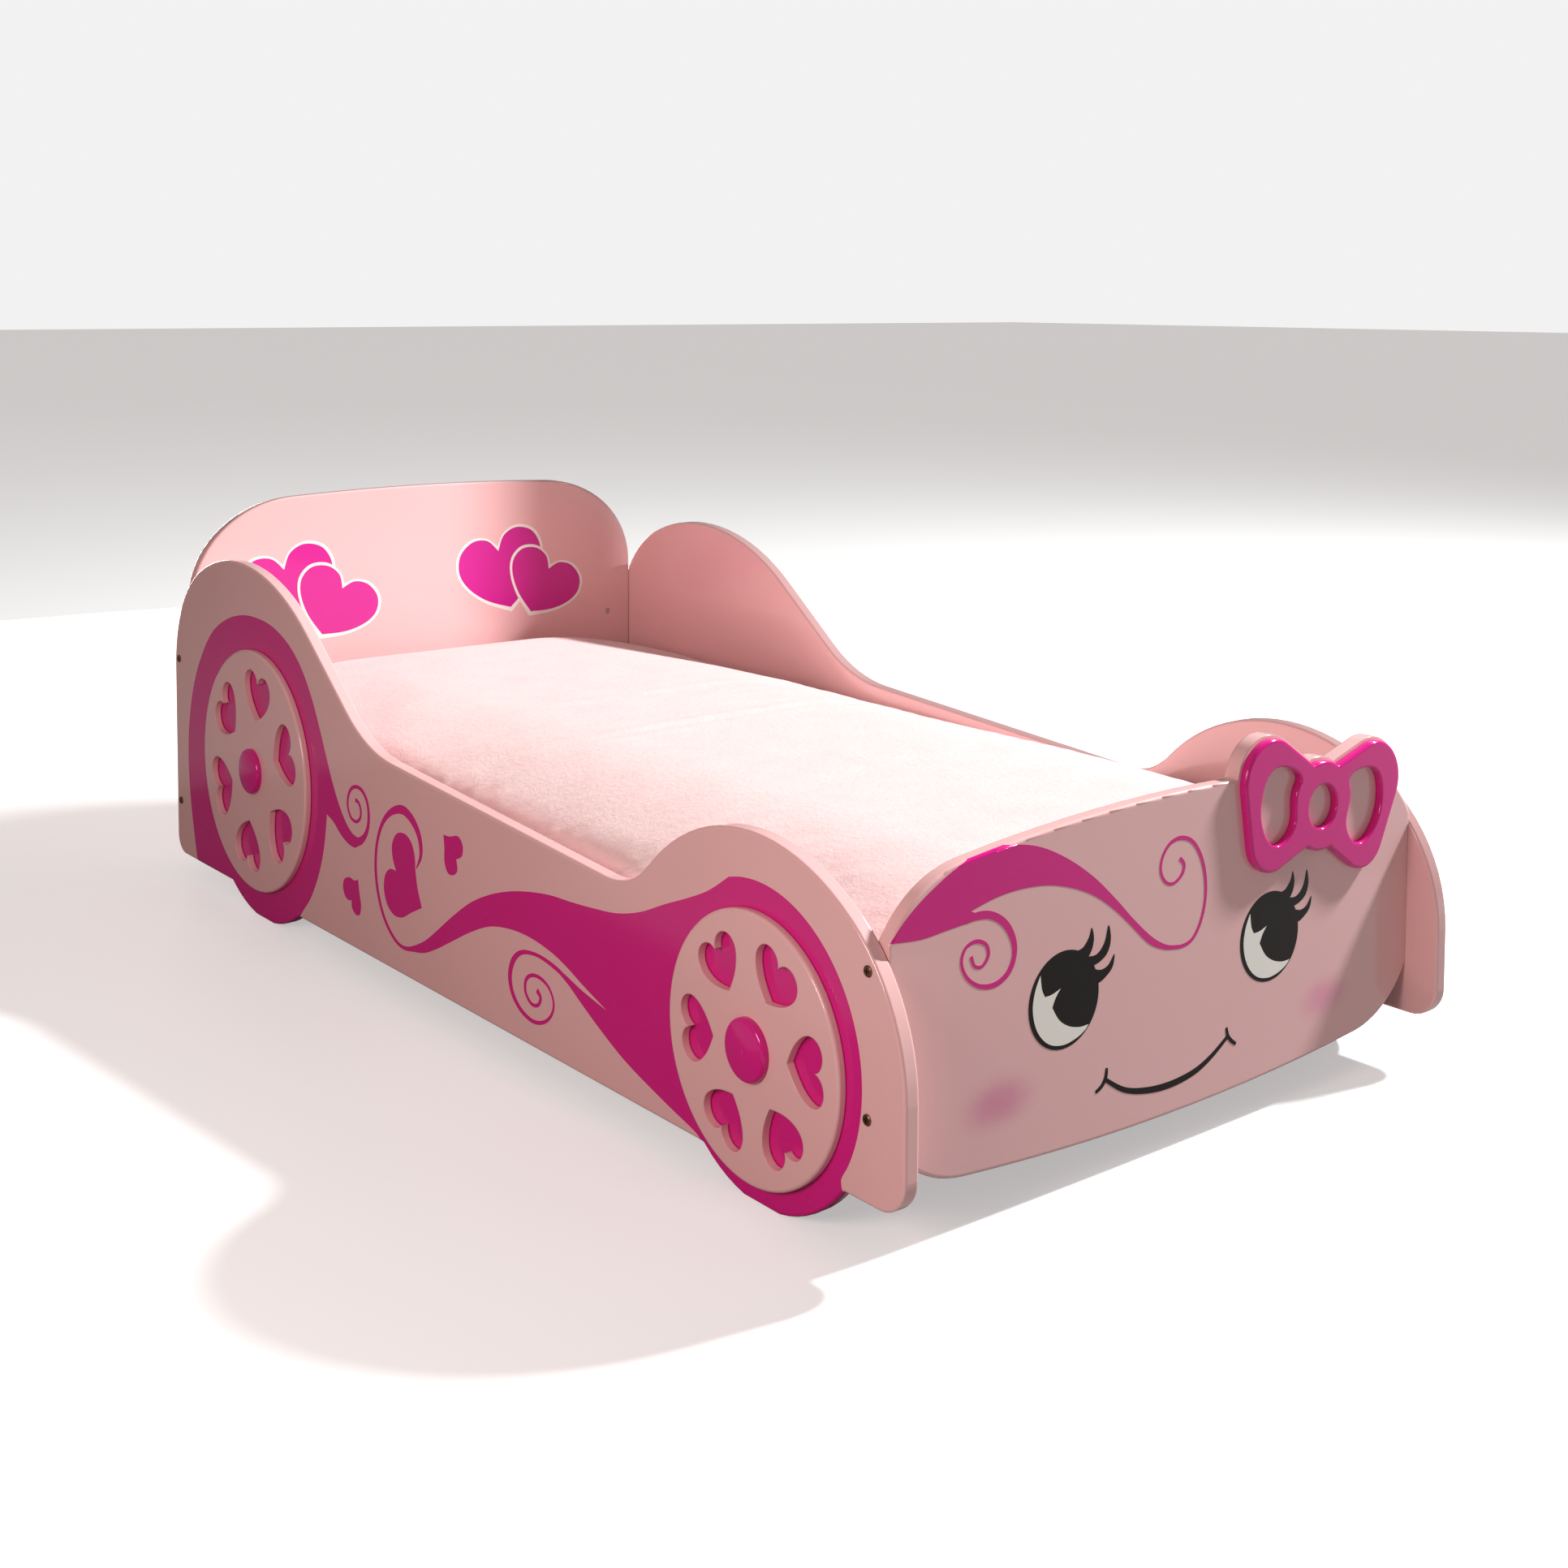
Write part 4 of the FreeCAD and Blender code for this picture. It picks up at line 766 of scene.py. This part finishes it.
# ------------------------------------------------------------------ fitted sheet
# Pale pink polar fleece, sewn with an elastic hem that grips the mattress near its foot. It
# is cut a little larger than the mattress, so it lies in soft shallow folds.
def polar_fleece(name, colour, shade):
    """Short brushed fleece: no gloss, a bloom of light at grazing angles, small tufts of pile
    a few millimetres apart and cloudy brushing marks. The colour sinks to the darker shade
    between the tufts, which is painted shade in the hollows of the pile; the broad clouds are
    random tone."""
    material, tree = new_finish(name)
    place = add(tree, "ShaderNodeTexCoord").outputs["Object"]
    tufts = add(tree, "ShaderNodeTexNoise", {
        "Vector": place, "Scale": per_mm(3.2), "Detail": 6.0, "Roughness": 0.7,
    })
    clumps = add(tree, "ShaderNodeTexVoronoi", {"Vector": place, "Scale": per_mm(6.5)},
                 feature="SMOOTH_F1")
    clouds = add(tree, "ShaderNodeTexNoise", {"Vector": place, "Scale": per_mm(45), "Detail": 4.0})
    pile = add(tree, "ShaderNodeMath", {
        0: clumps.outputs["Distance"], 1: -0.5, 2: tufts.outputs["Fac"],
    }, operation="MULTIPLY_ADD")
    # low pile between the tufts turns the colour darker, which is painted shade in the hollows; the
    # clouds add random tone
    pile_shade_and_clouds = add(tree, "ShaderNodeMath", {0: pile.outputs["Value"], 1: clouds.outputs["Fac"]})
    tone = add(tree, "ShaderNodeMapRange", {
        "Value": pile_shade_and_clouds.outputs["Value"], "From Min": 0.2, "From Max": 1.3,
    })
    cloth = add(tree, "ShaderNodeMix", {
        "Factor": tone.outputs["Result"], "A": linear(shade), "B": linear(colour),
    }, data_type="RGBA")
    relief = add(tree, "ShaderNodeBump", {
        "Height": pile.outputs["Value"], "Strength": 0.6, "Distance": 0.0016,
    })
    skin = add(tree, "ShaderNodeBsdfPrincipled", {
        "Base Color": cloth.outputs["Result"], "Roughness": 0.95, "Sheen Weight": 0.45,
        "Sheen Roughness": 0.45, "Sheen Tint": linear("#FFE9E6"), "Specular IOR Level": 0.2,
        "Normal": relief.outputs["Normal"],
    })
    add(tree, "ShaderNodeOutputMaterial", {"Surface": skin.outputs["BSDF"]})
    return material


sheet_low, sheet_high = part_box("fitted_sheet")
HEM = sheet_low[2]
CLOTH_THICKNESS = 0.0015
# the cloth starts this far outside its resting size, rounded a little more than the foam is
BULGE = 0.004
CLOTH_ROUNDING = 0.048
start_low = (sheet_low[0] - BULGE, sheet_low[1] - BULGE, core_low[2] - 0.006)
start_high = (sheet_high[0] + BULGE, sheet_high[1] + BULGE, sheet_high[2] + 0.001)
cloth_shape = soft_block(start_low, start_high, CLOTH_ROUNDING, pitch=0.0095)
crown_down(cloth_shape, start_low, start_high, SLUMP)
below_hem = [f for f in cloth_shape.faces if f.calc_center_median().z < HEM]
bmesh.ops.delete(cloth_shape, geom=below_hem, context="FACES")
# shallow folds to settle from: broad swells, with finer ripples near the long sides
FOLDS_ABOVE_HEM = 0.03
for vertex in cloth_shape.verts:
    if vertex.co.z > HEM + FOLDS_ABOVE_HEM:
        swell = noise.noise(Vector((vertex.co.x * 5.0, vertex.co.y * 3.2, 0.7)))
        ripple = noise.noise(Vector((vertex.co.x * 16.0, vertex.co.y * 7.0, 4.1)))
        near_edge = min(1.0, max(0.0, (abs(vertex.co.x) / sheet_high[0] - 0.45) / 0.4))
        vertex.co.z += 0.004 * swell + (0.0006 + 0.0028 * near_edge) * ripple
# the deeper pink is painted shade in the hollows of the pile and tone in the brushing clouds
pink_fleece = polar_fleece("polar_fleece", "#F0D3D3", "#E8C1C0")
fitted_sheet = as_piece("fleece_sheet", cloth_shape, pink_fleece)
# the hem is held, and the rest settles on the core
HELD_HEIGHT = 0.022
hem = [v.index for v in fitted_sheet.data.vertices if v.co.z < HEM + HELD_HEIGHT]
fitted_sheet.vertex_groups.new(name="hem").add(hem, 1.0, "REPLACE")
core_shape = soft_block(foam_low, foam_high, FOAM_ROUNDING, pitch=0.02)
crown_down(core_shape, foam_low, foam_high, SLUMP)
core = as_piece("cloth_rest", core_shape, foam_core.active_material)
core.modifiers.new("solid", "COLLISION")
core.collision.thickness_outer = CLOTH_THICKNESS
core.collision.cloth_friction = 12
drape = fitted_sheet.modifiers.new("drape", "CLOTH")
drape.settings.quality = 6
drape.settings.mass = 0.25
drape.settings.tension_stiffness = 18
drape.settings.compression_stiffness = 18
drape.settings.shear_stiffness = 8
drape.settings.bending_stiffness = 6
# the share by which the cloth is cut too large
SPARE_CLOTH = 0.009
drape.settings.shrink_min = -SPARE_CLOTH
drape.settings.vertex_group_mass = "hem"
drape.collision_settings.distance_min = CLOTH_THICKNESS
drape.collision_settings.use_self_collision = False
SETTLING_STEPS = 22
drape.point_cache.frame_start, drape.point_cache.frame_end = 1, SETTLING_STEPS
started = [v.co.copy() for v in fitted_sheet.data.vertices]
for step in range(1, SETTLING_STEPS + 1):
    bpy.context.scene.frame_set(step)
settled = fitted_sheet.evaluated_get(bpy.context.evaluated_depsgraph_get()).to_mesh()
# no point of the cloth ends further than this from where it started
MOST_MOVED = 0.012
for vertex, before, after in zip(fitted_sheet.data.vertices, started, settled.vertices):
    shift = after.co - before
    if shift.length > MOST_MOVED:
        shift *= MOST_MOVED / shift.length
    vertex.co = before + shift
fitted_sheet.modifiers.remove(drape)
bpy.data.objects.remove(core)
bpy.context.scene.frame_set(1)
thickness = fitted_sheet.modifiers.new("thickness", "SOLIDIFY")
thickness.thickness = CLOTH_THICKNESS
thickness.offset = -1
rounder = fitted_sheet.modifiers.new("round", "SUBSURF")
rounder.levels = rounder.render_levels = 1
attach(fitted_sheet, "mattress_set")
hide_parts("fitted_sheet")

# ------------------------------------------------------------------ floor, light and camera
# A plain pale floor and backdrop. A strong lamp stands high beyond the far side, towards the
# front. Weak warm lamps and a dim sky fill in the near side and the back.
FLOOR_REACH = 40.0
floor_shape = bmesh.new()
bmesh.ops.create_grid(floor_shape, x_segments=1, y_segments=1, size=FLOOR_REACH)
floor_finish, tree = new_finish("pale_floor")
place = add(tree, "ShaderNodeTexCoord").outputs["Object"]
speck = add(tree, "ShaderNodeTexNoise", {"Vector": place, "Scale": per_mm(400), "Detail": 2.0})
tone = add(tree, "ShaderNodeMix", {
    "Factor": speck.outputs["Fac"], "A": linear("#DAD9D9"), "B": linear("#D6D5D5"),
}, data_type="RGBA")
matt = add(tree, "ShaderNodeBsdfPrincipled", {
    "Base Color": tone.outputs["Result"], "Roughness": 0.9, "Specular IOR Level": 0.2,
    "Emission Color": linear("#F2F0F0"), "Emission Strength": 0.5,
})
# the floor throws less light up at the bed than a floor as pale as it looks would do
quiet = add(tree, "ShaderNodeBsdfDiffuse", {"Color": linear("#8A8685")})
direct = add(tree, "ShaderNodeLightPath").outputs["Is Camera Ray"]
both = add(tree, "ShaderNodeMixShader", {
    0: direct, 1: quiet.outputs["BSDF"], 2: matt.outputs["BSDF"],
})
add(tree, "ShaderNodeOutputMaterial", {"Surface": both.outputs["Shader"]})
floor = as_piece("floor", floor_shape, floor_finish)

world = bpy.data.worlds.new("studio")
bpy.context.scene.world = world
world.use_nodes = True
backdrop = world.node_tree
backdrop.nodes.clear()
seen = add(backdrop, "ShaderNodeLightPath").outputs["Is Camera Ray"]
fill = add(backdrop, "ShaderNodeBackground", {"Color": linear("#FFF6F0"), "Strength": 0.22})
pale = add(backdrop, "ShaderNodeBackground", {"Color": linear("#F3F2F2"), "Strength": 1.0})
sky = add(backdrop, "ShaderNodeMixShader", {
    0: seen, 1: fill.outputs["Background"], 2: pale.outputs["Background"],
})
add(backdrop, "ShaderNodeOutputWorld", {"Surface": sky.outputs["Shader"]})


def round_lamp(name, place, target, watts, colour, width):
    """A round soft lamp that points at a target."""
    lamp = bpy.data.lights.new(name, "AREA")
    lamp.energy = watts
    lamp.color = linear(colour)[:3]
    lamp.shape = "DISK"
    lamp.size = width
    holder = bpy.data.objects.new(name, lamp)
    holder.location = place
    holder.rotation_euler = (Vector(target) - Vector(place)).to_track_quat("-Z", "Y").to_euler()
    bpy.context.scene.collection.objects.link(holder)
    return holder


KEY = Vector((3.3, -1.28, 2.9))
KEY_WHITE, FILL_WHITE = "#F6FBFB", "#FFE9E2"
MIDDLE_OF_BED = (0, 0.1, 0.2)
key = round_lamp("key", KEY, MIDDLE_OF_BED, 430, KEY_WHITE, 0.35)
# the side that faces the lamp gets it through a scrim, so that its colours are not washed out
scrimmed = round_lamp("scrimmed_key", KEY, MIDDLE_OF_BED, 190, KEY_WHITE, 0.35)
facing = [shown_nodes["side_panel_right"]] + far_side_prints
for end in ("front", "rear"):
    facing += [shown_nodes[f"wheel_disc_{end}_right"], shown_nodes[f"hub_cap_{end}_right"]]
for lamp, state in ((key, "EXCLUDE"), (scrimmed, "INCLUDE")):
    receivers = bpy.data.collections.new(f"{lamp.name}_receivers")
    for piece in facing:
        receivers.objects.link(piece)
    for entry in receivers.collection_objects:
        entry.light_linking.link_state = state
    lamp.light_linking.receiver_collection = receivers
round_lamp("near_fill", (-2.1, -0.95, 1.0), (-0.3, -0.5, 0.2), 21, FILL_WHITE, 0.8)
round_lamp("rear_fill", (0.3, 3.0, 0.45), (0, 0.74, 0.28), 26, FILL_WHITE, 0.8)
# a dark cloth hung between the lamp and the bed shades the far third of the headboard
head_low, head_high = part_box("headboard")
SHADE_FROM, SHADE_TO = 0.125, head_high[0] + 0.03
SHADE_FOOT, SHADE_TOP = 0.2, 0.6
WAY_FROM_LAMP = 0.8
flag_shape = bmesh.new()
corners = [KEY.lerp(Vector((x, head_low[1], z)), WAY_FROM_LAMP) for x, z in (
    (SHADE_FROM, SHADE_FOOT), (SHADE_TO, SHADE_FOOT), (SHADE_TO, SHADE_TOP),
    (SHADE_FROM, SHADE_TOP),
)]
flag_shape.faces.new([flag_shape.verts.new(c) for c in corners])
flag_finish, tree = new_finish("dark_cloth")
dark = add(tree, "ShaderNodeBsdfDiffuse", {"Color": linear("#202020")})
add(tree, "ShaderNodeOutputMaterial", {"Surface": dark.outputs["BSDF"]})
flag = as_piece("flag", flag_shape, flag_finish)
flag.visible_camera = False
flag.visible_glossy = False

scene = bpy.context.scene
scene.view_settings.view_transform = "Standard"
# the camera stands off the front left corner, a little above the bed
CAMERA_PLACE = (-1.4206, -1.9228, 0.7936)
lens = bpy.data.cameras.new("camera")
lens.sensor_width = 36
lens.lens = 46.44
lens.shift_x = -0.0195
lens.shift_y = -0.2269
lens.clip_end = 100
camera = bpy.data.objects.new("camera", lens)
yaw, pitch, roll = math.radians(39.095), math.radians(3.80), math.radians(0.253)
ahead = Vector((
    math.sin(yaw) * math.cos(pitch), math.cos(yaw) * math.cos(pitch), -math.sin(pitch),
))
level = Vector((math.cos(yaw), -math.sin(yaw), 0))
upright = level.cross(ahead)
right = level * math.cos(roll) + upright * math.sin(roll)
up = upright * math.cos(roll) - level * math.sin(roll)
camera.matrix_world = Matrix((
    (right.x, up.x, -ahead.x, CAMERA_PLACE[0]),
    (right.y, up.y, -ahead.y, CAMERA_PLACE[1]),
    (right.z, up.z, -ahead.z, CAMERA_PLACE[2]),
    (0, 0, 0, 1),
))
scene.collection.objects.link(camera)
scene.camera = camera
